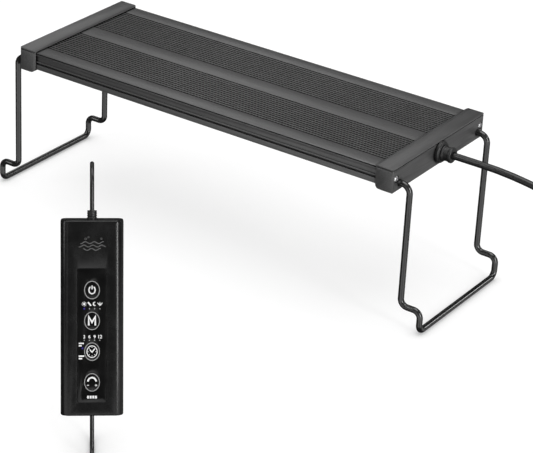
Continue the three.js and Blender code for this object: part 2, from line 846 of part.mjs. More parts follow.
const caseFace = -CASE_THICKNESS / 2;
const caseBack = CASE_THICKNESS / 2;
const faceWall = 2;
const faceInside = caseFace + faceWall;
const panelSeat = caseFace + PANEL_THICKNESS + 0.05;
const frontCorner = 5;
const backCorner = 4;
const screwZs = [CASE_SCREW_MARGIN, CASE_LENGTH - CASE_SCREW_MARGIN];
const screwPlaces = screwZs.flatMap((z) => [-CASE_SCREW_X, CASE_SCREW_X].map((x) => ({ x, z })));
const bushRadius = 3.1;
const bushFlangeRadius = 3.8;
const frontPostRadius = 2.4;
const backPostRadius = 3;
const boardFace = -CONTROL_BOARD.thickness / 2;
const boardBack = CONTROL_BOARD.thickness / 2;

function caseOutside() {
  const outline = roundedRectangle(CASE_WIDTH, CASE_THICKNESS, frontCorner, backCorner, 8);
  return new THREE.ExtrudeGeometry(outline, {
    depth: CASE_LENGTH - 2 * CASE_EDGE,
    bevelThickness: CASE_EDGE,
    bevelSize: CASE_EDGE,
    bevelOffset: -CASE_EDGE,
    bevelSegments: 3,
  }).translate(0, 0, CASE_EDGE);
}

function caseShell() {
  const inside = roundedRectangle(
    CASE_WIDTH - 2 * CASE_WALL,
    CASE_THICKNESS - CASE_WALL - faceWall,
    frontCorner - CASE_WALL,
    backCorner - CASE_WALL,
  );
  const hollow = prismAlongZ(inside, CASE_WALL, CASE_LENGTH - CASE_WALL);
  hollow.translate(0, (faceWall - CASE_WALL) / 2, 0);
  const bushHole = rodAlongZ(bushRadius + GAP, -1, CASE_LENGTH + 1);
  return cut(caseOutside(), hollow, bushHole);
}

const buttonPlaces = BUTTON_NAMES.map((name, index) => ({
  name,
  z: FIRST_BUTTON_Z + BUTTON_PITCH * index,
}));
const lightXs = Array.from(
  { length: LIGHTS_PER_ROW },
  (_, index) => (index - (LIGHTS_PER_ROW - 1) / 2) * LIGHT_PITCH,
);
const panelMiddle = (PANEL_LOW + PANEL_HIGH) / 2;

function buttonHole(z) {
  const hole = ellipse(BUTTON_HALF_WIDTH + GAP, BUTTON_HALF_HEIGHT + GAP, BUTTON_SIDES);
  return prismAlongY(hole, caseFace - 1, faceInside + 1).translate(0, 0, z);
}

function frontShell() {
  const frontHalf = block([-CASE_WIDTH, -CASE_THICKNESS, -1], [CASE_WIDTH, -GAP / 2, CASE_LENGTH + 1]);
  const recess = roundedRectangle(2 * (PANEL_HALF_WIDTH + GAP), PANEL_HIGH - PANEL_LOW + 2 * GAP, 1.3);
  const panelRecess = prismAlongY(recess, caseFace - 1, panelSeat).translate(0, 0, panelMiddle);
  const posts = screwPlaces.map(({ x, z }) => rodAlongY(frontPostRadius, caseFace + 1, -1.5 * GAP, x, z));
  const pilots = screwPlaces.map(({ x, z }) =>
    rodAlongY(CASE_SCREW.shankRadius + GAP, faceInside + 1.5, 1, x, z, 12),
  );
  const lightHoles = Object.values(LIGHT_ROW_Z).flatMap((z) =>
    lightXs.map((x) => rodAlongY(0.8, caseFace, faceInside + 1, x, z, 10)),
  );
  return cut(
    join(common(caseShell(), frontHalf), ...posts),
    panelRecess,
    ...buttonPlaces.map(({ z }) => buttonHole(z)),
    ...pilots,
    ...lightHoles,
  );
}

function backShell() {
  const backHalf = block([-CASE_WIDTH, GAP / 2, -1], [CASE_WIDTH, CASE_THICKNESS, CASE_LENGTH + 1]);
  const posts = screwPlaces.map(({ x, z }) => rodAlongY(backPostRadius, 1.5 * GAP, caseBack - 1, x, z));
  const boreRadius = CASE_SCREW.shankRadius + GAP;
  const bores = screwPlaces.map(({ x, z }) => rodAlongY(boreRadius, -1, caseBack, x, z, 12));
  const headSinks = screwPlaces.map(({ x, z }) =>
    rodAlongY(CASE_SCREW.headRadius + GAP, caseBack - 2.3, caseBack + 1, x, z),
  );
  const standoffX = CONTROL_BOARD.width / 2 - 2.5;
  const standoffReach = CONTROL_BOARD.length / 2 - 6.5;
  const standoffs = [-standoffReach, standoffReach].flatMap((fromMiddle) =>
    [-standoffX, standoffX].map((x) =>
      rodAlongY(1.5, boardBack + GAP, caseBack - 1, x, CASE_LENGTH / 2 + fromMiddle, 12),
    ),
  );
  return cut(join(common(caseShell(), backHalf), ...posts, ...standoffs), ...bores, ...headSinks);
}

piece("controller_front_shell", frontShell(), casePlastic, controller);
piece("controller_back_shell", backShell(), casePlastic, controller);
screwPlaces.forEach(({ x, z }) => {
  const screw = crossHeadScrew(CASE_SCREW).rotateZ(Math.PI / 2).translate(x, caseBack - 0.6, z);
  const place = (z < CASE_LENGTH / 2 ? "lower" : "upper") + (x < 0 ? "_left" : "_right");
  piece("case_screw_" + place, screw, zincSteel, controller);
});

// ---------------------------------------------------------------- controller face

function overlayPanel() {
  const outline = roundedRectangle(2 * PANEL_HALF_WIDTH, PANEL_HIGH - PANEL_LOW, 1);
  const sheet = prismAlongY(outline, caseFace, caseFace + PANEL_THICKNESS).translate(0, 0, panelMiddle);
  return cut(sheet, ...buttonPlaces.map(({ z }) => buttonHole(z)));
}

const plungerTip = boardFace - GAP - 3.5;

// An elliptical cap with a retaining flange inside the case, and a stem that meets the switch.
function buttonCap(z) {
  const face = caseFace - BUTTON_PROUD;
  const flangeFront = faceInside + GAP;
  const flangeBack = flangeFront + 1;
  const rim = 0.4;
  const capOutline = ellipse(BUTTON_HALF_WIDTH, BUTTON_HALF_HEIGHT, BUTTON_SIDES);
  const cap = prismAlongY(capOutline, face, flangeBack);
  const flangeOutline = ellipse(BUTTON_HALF_WIDTH + rim, BUTTON_HALF_HEIGHT + rim, BUTTON_SIDES);
  const flange = prismAlongY(flangeOutline, flangeFront, flangeBack);
  const stem = rodAlongY(1.5, flangeBack - 0.5, plungerTip - BUTTON_PROUD - 0.05, 0, 0, 12);
  return join(cap, flange, stem).translate(0, 0, z);
}

function tactSwitch(z) {
  const half = SWITCH_SIZE / 2;
  const bodyFace = plungerTip + 0.5;
  const body = block([-half, bodyFace, -half], [half, boardFace - GAP, half]);
  const plunger = rodAlongY(1.2, plungerTip, bodyFace + 0.5, 0, 0, 12);
  return join(body, plunger).translate(0, 0, z);
}

// A clear bar behind the face, with one pip per indicator reaching up to the overlay.
function lightGuide(z) {
  const front = boardFace - 4.8;
  const bar = block([-6, front, -0.75], [6, front + 1, 0.75]);
  const pips = lightXs.map((x) => rodAlongY(0.5, panelSeat + GAP, front + 0.5, x, 0, 10));
  return join(bar, ...pips).translate(0, 0, z);
}

piece("control_panel", overlayPanel(), glossBlack, controller);
buttonPlaces.forEach(({ name, z }) => {
  piece(name + "_button", buttonCap(z), glossBlack, controller);
  piece(name + "_switch", tactSwitch(z), casePlastic, controller);
});
Object.entries(LIGHT_ROW_Z).forEach(([name, z]) => {
  piece(name + "_light_guide", lightGuide(z), clearAcrylic, controller);
});

// ---------------------------------------------------------------- controller inside

function controllerBoard() {
  const { width, length, cornerRadius } = CONTROL_BOARD;
  const outline = roundedRectangle(width, length, cornerRadius);
  return prismAlongY(outline, boardFace, boardBack).translate(0, 0, CASE_LENGTH / 2);
}

function controlChip() {
  const { width, length, height } = CONTROL_CHIP;
  const seat = boardBack + GAP;
  const chip = block([-width / 2, seat, -length / 2], [width / 2, seat + height, length / 2]);
  return chip.translate(0, 0, CASE_LENGTH * 0.4);
}

// A moulded bush that holds a lead in the end wall: proud outside, flanged inside.
function leadBush(proud) {
  const insideLength = 3;
  return sleeve(
    [
      [bushFlangeRadius, -insideLength - CASE_WALL - GAP, -CASE_WALL - GAP],
      [bushRadius, -CASE_WALL - GAP, proud],
    ],
    LEAD_RADIUS + GAP,
    16,
  );
}

piece("controller_board", controllerBoard(), boardGreen, controller);
piece("control_chip", controlChip(), casePlastic, controller);
piece(
  "upper_lead_bush",
  leadBush(5).rotateY(-Math.PI / 2).translate(0, 0, CASE_LENGTH),
  blackRubber,
  controller,
);
piece("lower_lead_bush", leadBush(0.4).rotateY(Math.PI / 2), blackRubber, controller);

// ---------------------------------------------------------------- controller lead and power lead

const inCase = (y, z) => new THREE.Vector3(0, y, z).applyMatrix4(controller.matrix);

// Both leads hang in the controller's middle plane. This is where that plane meets the floor, as a
// point below the case and a level direction towards the viewer.
const across = new THREE.Vector3(1, 0, 0).applyQuaternion(controller.quaternion);
const towardsViewer = across.clone().cross(new THREE.Vector3(0, 0, 1)).normalize();

function onCasePlane(y, height) {
  const from = inCase(y, 0);
  const down = inCase(y, -1).sub(from);
  return from.addScaledVector(down, (height - from.z) / down.z);
}

const leadHeight = lying(LEAD_RADIUS);
const crossingHeight = leadHeight + 2 * lying(LEAD_RADIUS) + GAP;
const floorFoot = onCasePlane(LOOP_DEPTH, leadHeight);
const leadTurn = onCasePlane(-8.5, leadHeight);
const at = (point, bend = 0) => ({ point, bend });

// From the inline socket along the floor, under the power lead, up behind the case, over in a loop
// and down into its upper end.
function controllerLead() {
  const socketTail = PLUG_DISTANCE + PLUG_LENGTH + SOCKET_LENGTH;
  return wire(
    [
      corner(...alongFloorRun(socketTail - 8), SOCKET_RADIUS),
      corner(...alongFloorRun(socketTail + 4), SOCKET_RADIUS, 6),
      corner(...alongFloorRun(socketTail + 15), leadHeight, 12),
      corner(FLOOR_TURN.x, FLOOR_TURN.y, leadHeight, 18),
      at(leadTurn, 7),
      at(floorFoot, 12),
      at(inCase(LOOP_DEPTH, CASE_LENGTH + LOOP_RISE), LOOP_DEPTH / 2 - 0.01),
      at(inCase(0, CASE_LENGTH + LOOP_RISE), LOOP_DEPTH / 2 - 0.01),
      at(inCase(0, CASE_LENGTH - CASE_WALL - 4)),
    ],
    LEAD_RADIUS,
    10,
  );
}

// From the case's lower end to the floor in front of it, then along beside the other lead to the
// power socket.
const besideRun = new THREE.Vector3(FLOOR_TURN.x, FLOOR_TURN.y, leadHeight).sub(leadTurn).normalize();
const powerTurn = leadTurn.clone().addScaledVector(towardsViewer, 15);
const powerEnd = powerTurn.clone().addScaledVector(besideRun, 72);

function powerLead() {
  const lifted = (point, height) => new THREE.Vector3(point.x, point.y, height);
  const nearEnd = powerEnd.clone().addScaledVector(besideRun, -26);
  const socketMouth = powerEnd.clone().addScaledVector(besideRun, -14);
  return wire(
    [
      at(inCase(0, CASE_WALL + 4)),
      at(onCasePlane(0, crossingHeight), 9),
      at(lifted(leadTurn.clone().addScaledVector(towardsViewer, 4), crossingHeight), 8),
      at(powerTurn, 7),
      at(nearEnd, 12),
      at(lifted(socketMouth, SOCKET_RADIUS), 6),
      at(lifted(powerEnd, SOCKET_RADIUS)),
    ],
    LEAD_RADIUS,
    10,
  );
}

function atPowerEnd(geometry) {
  const heading = Math.atan2(besideRun.y, besideRun.x);
  return geometry.rotateZ(heading).translate(powerEnd.x, powerEnd.y, SOCKET_RADIUS);
}

const powerBore = BARREL_RADIUS + 0.5;
const powerBoreDepth = 12;

function powerSocket() {
  const back = SOCKET_LENGTH - powerBoreDepth;
  return turned([
    [LEAD_RADIUS + GAP, -8],
    [2.4, -8],
    [2.4, -7],
    [SOCKET_RADIUS, 1],
    [SOCKET_RADIUS, SOCKET_LENGTH - 0.5],
    [SOCKET_RADIUS - 0.5, SOCKET_LENGTH],
    [powerBore + 0.45, SOCKET_LENGTH],
    [powerBore + 0.45, back],
    [LEAD_RADIUS + GAP, back],
    [LEAD_RADIUS + GAP, -8],
  ]);
}

function powerSleeve() {
  const back = SOCKET_LENGTH - powerBoreDepth;
  return sleeve([[powerBore + 0.15, back + GAP, SOCKET_LENGTH - 0.6]], powerBore - 0.2);
}

function powerPin() {
  const start = SOCKET_LENGTH - powerBoreDepth - 6;
  return turned([
    [0, start],
    [1.05, start],
    [1.05, SOCKET_LENGTH - 2.2],
    [0.6, SOCKET_LENGTH - 1.4],
    [0, SOCKET_LENGTH - 1.4],
  ]);
}

piece("controller_lead", controllerLead(), cableJacket);
piece("power_lead", powerLead(), cableJacket);
piece("power_socket", atPowerEnd(powerSocket()), cableJacket);
piece("power_socket_sleeve", atPowerEnd(powerSleeve()), nickel);
piece("power_socket_pin", atPowerEnd(powerPin()), nickel);

export default aquariumLight;
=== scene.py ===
"""The looks of the LED aquarium light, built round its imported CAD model.

Metres, +Z up, in the model's own frame: +X points to the light's cable end, -Y to its front, and the
origin is at the middle of the lens's outer face. MM turns a size in millimetres into metres.
"""

import json
import math

import bmesh
import bpy
import numpy as np
from mathutils import Matrix, Vector

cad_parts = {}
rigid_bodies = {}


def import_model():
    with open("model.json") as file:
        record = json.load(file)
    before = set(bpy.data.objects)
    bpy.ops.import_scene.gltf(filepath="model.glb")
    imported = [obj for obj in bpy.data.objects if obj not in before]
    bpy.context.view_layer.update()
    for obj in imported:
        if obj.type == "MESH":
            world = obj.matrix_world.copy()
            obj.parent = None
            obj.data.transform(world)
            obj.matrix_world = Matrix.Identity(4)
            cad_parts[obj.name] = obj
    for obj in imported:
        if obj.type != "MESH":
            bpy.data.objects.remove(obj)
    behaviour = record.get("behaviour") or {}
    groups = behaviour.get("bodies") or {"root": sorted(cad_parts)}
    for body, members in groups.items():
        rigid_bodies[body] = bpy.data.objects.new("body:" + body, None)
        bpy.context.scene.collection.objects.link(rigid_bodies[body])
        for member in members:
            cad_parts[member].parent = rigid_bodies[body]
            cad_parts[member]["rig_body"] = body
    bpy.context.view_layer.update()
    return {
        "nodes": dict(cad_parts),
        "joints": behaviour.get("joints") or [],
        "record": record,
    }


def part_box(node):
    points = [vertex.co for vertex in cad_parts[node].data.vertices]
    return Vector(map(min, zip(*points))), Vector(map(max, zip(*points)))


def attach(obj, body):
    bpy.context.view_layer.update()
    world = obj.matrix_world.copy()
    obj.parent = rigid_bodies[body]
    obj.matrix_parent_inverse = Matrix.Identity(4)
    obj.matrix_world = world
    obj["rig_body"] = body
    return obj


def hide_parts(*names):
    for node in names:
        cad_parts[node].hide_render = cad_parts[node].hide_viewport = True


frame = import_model()

MM = 0.001
X_AXIS = Vector((1, 0, 0))

# Camera, on the model's own axes
CAMERA_TARGET = Vector((78.1, -86.2, -38.45)) * MM
CAMERA_AZIMUTH = math.radians(33.29)
CAMERA_ELEVATION = math.radians(27.16)
CAMERA_ROLL = math.radians(2.98)
CAMERA_DISTANCE = 1.4211
CAMERA_LENS = 151.15  # on a sensor 36 wide
TOWARDS_CAMERA = Vector((math.sin(CAMERA_AZIMUTH), -math.cos(CAMERA_AZIMUTH), 0))  # level

# ---------------------------------------------------------------- reading the frame

SLOTS = {part["node"]: part["material_slot"] for part in frame["record"]["subparts"]}


def points_of(node):
    """A CAD node's vertices, as rows of an array."""
    vertices = frame["nodes"][node].data.vertices
    return np.array([vertex.co for vertex in vertices])


def extent(node, direction):
    """How far a CAD node reaches along a direction: its least and greatest distance from the origin."""
    along = points_of(node) @ np.array(direction)
    return along.min(), along.max()


def middle(node):
    low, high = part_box(node)
    return (low + high) / 2


def turning_axis(node, direction):
    """A turned CAD node's own frame, its length and its radius. The frame's Z is the direction, and its
    origin is on the turning axis, where the node starts."""
    z = Vector(direction).normalized()
    x = z.orthogonal().normalized()
    y = z.cross(x)
    spans = [extent(node, axis) for axis in (x, y, z)]
    start = x * sum(spans[0]) / 2 + y * sum(spans[1]) / 2 + z * spans[2][0]
    matrix = Matrix((x, y, z)).transposed().to_4x4()
    matrix.translation = start
    across = points_of(node) - np.array(start)
    along = across @ np.array(z)
    radius = np.sqrt((across**2).sum(axis=1) - along**2).max()
    return matrix, spans[2][1] - spans[2][0], radius


def long_axis(node, towards):
    """The direction of a long turned CAD node's axis, pointing towards another node."""
    points = points_of(node)
    axis = Vector(np.linalg.svd(points - points.mean(axis=0), full_matrices=False)[2][0])
    return axis if axis.dot(middle(towards) - middle(node)) > 0 else -axis


def controller_frame():
    """The controller's own frame: X across its face, Y into it and Z up its length, with the origin at
    its lower end, in the middle of its width and thickness."""
    press = next(joint for joint in frame["joints"] if joint["name"] == "power_button_press")
    inward = Vector(press["axis"]).normalized()
    up = (middle("power_button") - middle("dimmer_button")).normalized()
    across = inward.cross(up).normalized()
    up = across.cross(inward)
    shells = ("controller_front_shell", "controller_back_shell")
    face = extent(shells[0], inward)[0]
    back = extent(shells[1], inward)[1]
    sides = extent(shells[0], across)
    foot = extent(shells[0], up)[0]
    matrix = Matrix((across, inward, up)).transposed().to_4x4()
    matrix.translation = across * sum(sides) / 2 + inward * (face + back) / 2 + up * foot
    return matrix


CONTROLLER = controller_frame()
ACROSS, INWARD, UPWARD = (CONTROLLER.col[index].to_3d() for index in range(3))
FLOOR_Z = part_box("bracket_right")[0].z

# ---------------------------------------------------------------- material nodes


class Surface:
    """A procedural material. Its methods add nodes, and take plain values or other nodes' outputs."""

    def __init__(self, name, **principled):
        self.material = bpy.data.materials.new(name)
        self.material.use_nodes = True
        self.nodes = self.material.node_tree.nodes
        self.links = self.material.node_tree.links
        self.shader = self.nodes["Principled BSDF"]
        self.set(**principled)

    def set(self, **principled):
        for name, value in principled.items():
            self.join(self.shader.inputs[name.replace("_", " ")], value)

    def join(self, socket, value):
        if isinstance(value, bpy.types.NodeSocket):
            self.links.new(value, socket)
        elif socket.type == "RGBA" and len(value) == 3:
            socket.default_value = (*value, 1)
        else:
            socket.default_value = value

    def add(self, kind, output=0, settings=None, **inputs):
        node = self.nodes.new("ShaderNode" + kind)
        for name, value in (settings or {}).items():
            setattr(node, name, value)
        for name, value in inputs.items():
            self.join(node.inputs[name.replace("_", " ")], value)
        return node.outputs[output]

    def maths(self, operation, first, second=0.0):
        node = self.nodes.new("ShaderNodeMath")
        node.operation = operation
        self.join(node.inputs[0], first)
        self.join(node.inputs[1], second)
        return node.outputs[0]

    def place(self, stretch=(1, 1, 1)):
        """Where a point is on its piece, in millimetres, with each axis stretched."""
        coordinates = self.add("TexCoord", output="Object")
        scale = tuple(factor / MM for factor in stretch)
        return self.add("Mapping", Vector=coordinates, Scale=scale)

    def noise(self, scale, stretch=(1, 1, 1), detail=3.0, roughness=0.5):
        """Noise from 0 to 1. Scale is in features to the millimetre."""
        return self.add(
            "TexNoise", Vector=self.place(stretch), Scale=scale, Detail=detail, Roughness=roughness
        )

    def spread(self, value, low, high, start=0.3, end=0.7):
        """A value's range from start to end, spread from low to high and held there beyond it."""
        return self.add(
            "MapRange", Value=value, From_Min=start, From_Max=end, To_Min=low, To_Max=high
        )

    def blend(self, factor, first, second):
        """A colour between two colours."""
        node = self.nodes.new("ShaderNodeMix")
        node.data_type = "RGBA"
        for index, value in ((0, factor), (6, first), (7, second)):
            self.join(node.inputs[index], value)
        return node.outputs[2]

    def edges(self, radius):
        """1 within a radius in millimetres of a sharp edge, and 0 away from it."""
        rounded = self.add("Bevel", Radius=radius * MM, settings={"samples": 4})
        normal = self.add("NewGeometry", output="Normal")
        agreement = self.add(
            "VectorMath", output="Value", settings={"operation": "DOT_PRODUCT"}
        )
        dot = agreement.node
        self.join(dot.inputs[0], rounded)
        self.join(dot.inputs[1], normal)
        return self.spread(agreement, 1.0, 0.0, start=0.9, end=0.995)

    def occlusion_for_painted_shade(self, reach, darkest=0.0):
        """Ambient occlusion for painted shade: 1 where nothing stands within a reach in millimetres,
        down to the darkest in deep hollows.
        """
        exposure = self.add(
            "AmbientOcclusion", output="AO", Distance=reach * MM, settings={"samples": 6}
        )
        return self.spread(exposure, darkest, 1.0, start=0.48, end=0.94)

    def shade(self, colour, factor):
        """A colour darkened towards black as a factor goes from 1 to 0."""
        return self.blend(factor, (0, 0, 0), colour)

    def bump(self, *layers):
        """Bumps laid over each other: each layer is (height from 0 to 1, depth in millimetres)."""
        normal = None
        for height, depth in layers:
            inputs = {"Height": height, "Distance": depth * MM, "Strength": 1.0}
            if normal is not None:
                inputs["Normal"] = normal
            normal = self.add("Bump", **inputs)
        self.set(Normal=normal)


def grey(level, warmth=0.0):
    """A near-neutral colour. Warmth moves it from blue to red."""
    return (level * (1 + warmth), level, level * (1 - warmth))


def anodised_aluminium():
    """Dark anodised extrusion: drawn streaks along its length, painted shade in its grooves, and paler
    edges, partly lost dye and partly a painted highlight.
    """
    surface = Surface("anodised_aluminium", Metallic=0.35)
    streaks = surface.noise(3.0, stretch=(0.012, 1, 1), detail=4)
    grain = surface.noise(14, stretch=(0.06, 1, 1), detail=2)
    clouds = surface.noise(0.03, detail=2)
    drawn = surface.blend(surface.spread(streaks, 0, 1), grey(0.08), grey(0.13))
    mottled = surface.blend(surface.spread(clouds, 0, 0.35), drawn, grey(0.078))
    # Paler edges: partly wear, partly a painted edge highlight.
    edge_wear_and_highlight = surface.maths("MULTIPLY", surface.edges(0.35), surface.spread(grain, 0.25, 0.7))
    # Painted shade: colour darkened and reflections weakened in grooves and hollows.
    painted_shade_factor = surface.occlusion_for_painted_shade(2.2)
    surface.set(Base_Color=surface.shade(surface.blend(edge_wear_and_highlight, mottled, grey(0.3)), painted_shade_factor))
    surface.set(Specular_IOR_Level=surface.spread(painted_shade_factor, 0.05, 0.5, start=0, end=0.5))
    surface.set(Roughness=surface.spread(grain, 0.34, 0.48))
    surface.bump((streaks, 0.01), (grain, 0.006))
    return surface.material


def cap_plastic():
    """Satin moulded caps with fine hairlines across the light, painted shade in their grooves, and
    paler edges, partly wear and partly a painted highlight.
    """
    surface = Surface("cap_plastic", IOR=1.5)
    hairlines = surface.noise(2.2, stretch=(1, 0.02, 1), detail=4)
    pores = surface.noise(9, detail=2)
    clouds = surface.noise(0.06, detail=2)
    brushed = surface.blend(surface.spread(hairlines, 0, 1), grey(0.037), grey(0.09))
    mottled = surface.blend(surface.spread(clouds, 0, 0.35), brushed, grey(0.042))
    # Painted shade: colour darkened and reflections weakened in grooves and hollows.
    painted_shade_factor = surface.occlusion_for_painted_shade(2.6)
    # Paler edges: partly wear, partly a painted edge highlight.
    edge_wear_and_highlight = surface.blend(surface.edges(0.3), mottled, grey(0.16))
    surface.set(Base_Color=surface.shade(edge_wear_and_highlight, painted_shade_factor))
    surface.set(Specular_IOR_Level=surface.spread(painted_shade_factor, 0.05, 0.5, start=0, end=0.6))
    surface.set(Roughness=surface.spread(hairlines, 0.28, 0.44))
    surface.bump((hairlines, 0.012), (pores, 0.008))
    return surface.material


def painted_wire():
    """Gloss black powder coat: a faint orange peel, and rubbed patches that have gone duller."""
    surface = Surface("painted_wire", Coat_Weight=0.5, Coat_Roughness=0.06)
    peel = surface.noise(1.1, detail=1)
    rubbed = surface.noise(0.09, detail=4)
    surface.set(Base_Color=surface.blend(surface.spread(rubbed, 0, 1), grey(0.007), grey(0.014)))
    surface.set(Roughness=surface.spread(rubbed, 0.16, 0.28))
    surface.bump((peel, 0.015))
    return surface.material


def plated_steel(name, colour, roughness):
    """Bright plated metal with fine scratches and slightly clouded plating."""
    surface = Surface(name, Metallic=1.0)
    scratches = surface.noise(6, stretch=(1, 0.2, 1), detail=4)
    clouds = surface.noise(0.5, detail=3)
    duller = tuple(channel * 0.8 for channel in colour)
    surface.set(Base_Color=surface.blend(surface.spread(clouds, 0, 1), colour, duller))
    surface.set(Roughness=surface.spread(scratches, roughness, roughness + 0.18))
    surface.bump((scratches, 0.006))
    return surface.material


def moulded(name, dark, light, roughness, grain, depth, edge=None, shine=0.5):
    """Moulded rubber or plastic: a fine grain, uneven sheen and, where given, a paler edge: partly
    wear, partly a painted highlight.
    """
    surface = Surface(name, Specular_IOR_Level=shine)
    texture = surface.noise(grain, detail=2, roughness=0.6)
    clouds = surface.noise(0.12, detail=3)
    colour = surface.blend(surface.spread(clouds, 0, 1), dark, light)
    # Paler edge: partly wear, partly a painted edge highlight.
    if edge:
        colour = surface.blend(surface.edges(0.3), colour, edge)
    surface.set(Base_Color=colour)
    uneven = surface.maths("MULTIPLY", surface.spread(texture, 0.85, 1.15), roughness)
    surface.set(Roughness=surface.maths("ADD", uneven, surface.spread(clouds, -0.03, 0.05)))
    surface.bump((texture, depth))
    return surface.material


def clear_acrylic():
    """Extruded acrylic: clear, with faint draw lines along its length."""
    surface = Surface(
        "clear_acrylic", Base_Color=(0.93, 0.96, 0.96), Transmission_Weight=1.0, IOR=1.49
    )
    lines = surface.noise(1.2, stretch=(0.01, 1, 1), detail=2)
    haze = surface.noise(0.05, detail=3)
    surface.set(Roughness=surface.spread(haze, 0.03, 0.1))
    surface.bump((lines, 0.01))
    return surface.material


def solder_mask(name, colour, track_colour, cell):
    """A circuit board: a glossy lacquer over copper tracks that stand slightly proud."""
    surface = Surface(name, Roughness=0.35, Coat_Weight=0.2)
    tracks = surface.add(
        "TexBrick",
        output="Fac",
        settings={"offset": 0.5},
        Vector=surface.place(),
        Scale=1.0 / cell,
        Mortar_Size=0.03,
        Brick_Width=1.0,
        Row_Height=0.35,
    )
    weave = surface.noise(2.5, detail=2)
    base = surface.blend(tracks, colour, track_colour)
    darker = tuple(channel * 0.85 for channel in colour)
    surface.set(Base_Color=surface.blend(surface.spread(weave, 0, 0.3), base, darker))
    surface.bump((tracks, 0.03), (weave, 0.004))
    return surface.material


def light_emitter(name, colour, strength=0.0):
    """A light source's window: a soft resin with a grainy fill, lit when it has a strength."""
    surface = Surface(name, Roughness=0.3, Coat_Weight=0.4)
    grains = surface.noise(6, detail=2)
    darker = tuple(channel * 0.7 for channel in colour)
    shade = surface.blend(surface.spread(grains, 0, 1), colour, darker)
    surface.set(Base_Color=shade, Emission_Color=shade, Emission_Strength=strength)
    surface.bump((grains, 0.01))
    return surface.material


def printed_ink(name, level):
    """Screen-printed ink, a little thinner in places."""
    surface = Surface(name)
    cover = surface.noise(3, detail=3)
    surface.set(
        Base_Color=surface.blend(surface.spread(cover, 0, 1), grey(level), grey(level * 0.8)),
        Roughness=surface.spread(cover, 0.4, 0.55),
    )
    surface.bump((cover, 0.003))
    return surface.material


# What moulded takes: a name, a dark and a light colour, roughness, grains to the millimetre and their
# depth in millimetres, then a colour for the edges, which is partly wear and partly a painted
# highlight.
MATERIALS = {
    "anodised_body": anodised_aluminium(),
    "cap_plastic": cap_plastic(),
    "bracket_wire": painted_wire(),
    "screw_steel": plated_steel("zinc_steel", (0.9, 0.9, 0.91), 0.2),
    "nickel": plated_steel("nickel_plate", (0.74, 0.71, 0.65), 0.18),
    "black_rubber": moulded("black_rubber", grey(0.007), grey(0.012), 0.42, 7, 0.015, grey(0.03)),
    "cable_jacket": moulded("cable_jacket", grey(0.007), grey(0.012), 0.27, 5, 0.006),
    "red_jacket": moulded("red_jacket", (0.36, 0.02, 0.015), (0.42, 0.03, 0.02), 0.45, 5, 0.01),
    "clear_acrylic": clear_acrylic(),
    "led_board_white": solder_mask("white_board", (0.8, 0.8, 0.77), (0.7, 0.7, 0.68), 9),
    "circuit_board": solder_mask("green_board", (0.02, 0.12, 0.05), (0.05, 0.22, 0.1), 3),
    "chip_plastic": moulded("chip_epoxy", grey(0.02), grey(0.03), 0.6, 10, 0.02, grey(0.06)),
    "case_plastic": moulded(
        "case_plastic", grey(0.005), grey(0.008), 0.24, 9, 0.006, edge=grey(0.02), shine=0.3
    ),
    "panel_gloss": moulded(
        "panel_gloss", grey(0.003), grey(0.005), 0.16, 3, 0.002, edge=grey(0.02), shine=0.25
    ),
}

# ---------------------------------------------------------------- making pieces

WELD = 0.001 * MM
SMOOTH_BELOW = math.radians(38)


def as_mesh(name, built):
    """A bmesh as a mesh that is smooth except where faces meet sharply."""
    bmesh.ops.recalc_face_normals(built, faces=built.faces)
    mesh = bpy.data.meshes.new(name)
    built.to_mesh(mesh)
    built.free()
    mesh.shade_smooth()
    mesh.set_sharp_from_angle(angle=SMOOTH_BELOW)
    return mesh


def add_piece(name, mesh, *nodes, beside=None, material=None):
    """Adds a finished mesh. It stands for the CAD nodes, or else goes beside one, and it takes its body
    from the first of them, and its material too, by that node's slot, unless one is given."""
    model = nodes[0] if nodes else beside
    obj = bpy.data.objects.new(name, mesh)
    bpy.context.scene.collection.objects.link(obj)
    if not mesh.materials:
        mesh.materials.append(material or MATERIALS[SLOTS[model]])
    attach(obj, frame["nodes"][model]["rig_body"])
    if nodes:
        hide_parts(*nodes)
    return obj


def welded_copy(node):
    """A CAD node's mesh as a bmesh, with its shared points merged."""
    mesh = bmesh.new()
    mesh.from_mesh(frame["nodes"][node].data)
    bmesh.ops.remove_doubles(mesh, verts=mesh.verts, dist=WELD)
    return mesh


def refine(node, rounding, segments=2, sharp=math.radians(30)):
    """Replaces a CAD node by a finer copy: its flat faces made whole and its sharp edges rounded."""
    mesh = welded_copy(node)
    bmesh.ops.dissolve_limit(
        mesh, angle_limit=math.radians(0.5), verts=mesh.verts[:], edges=mesh.edges[:]
    )
    edges = [e for e in mesh.edges if e.is_manifold and e.calc_face_angle() > sharp]
    bmesh.ops.bevel(
        mesh,
        geom=edges,
        offset=rounding * MM,
        offset_type="OFFSET",
        segments=segments,
        profile=0.5,
        affect="EDGES",
        clamp_overlap=True,
    )
    return add_piece(node + "_finished", as_mesh(node + "_finished", mesh), node)


# ---------------------------------------------------------------- wires and cables

WIRE_SIDES = 28
DEGREES_PER_RING = 3


def flat_patch(face):
    """The corners of a face and of every face that continues it in the same plane."""
    patch = {face}
    queue = [face]
    while queue:
        for edge in queue.pop().edges:
            for other in edge.link_faces:
                if other not in patch and other.normal.dot(face.normal) > 0.99999:
                    patch.add(other)
                    queue.append(other)
    return {vertex for part in patch for vertex in part.verts}


def is_ring(corners):
    """True if points are all as far from their middle."""
    points = np.array([vertex.co for vertex in corners])
    distances = np.linalg.norm(points - points.mean(axis=0), axis=1)
    return np.ptp(distances) < WELD


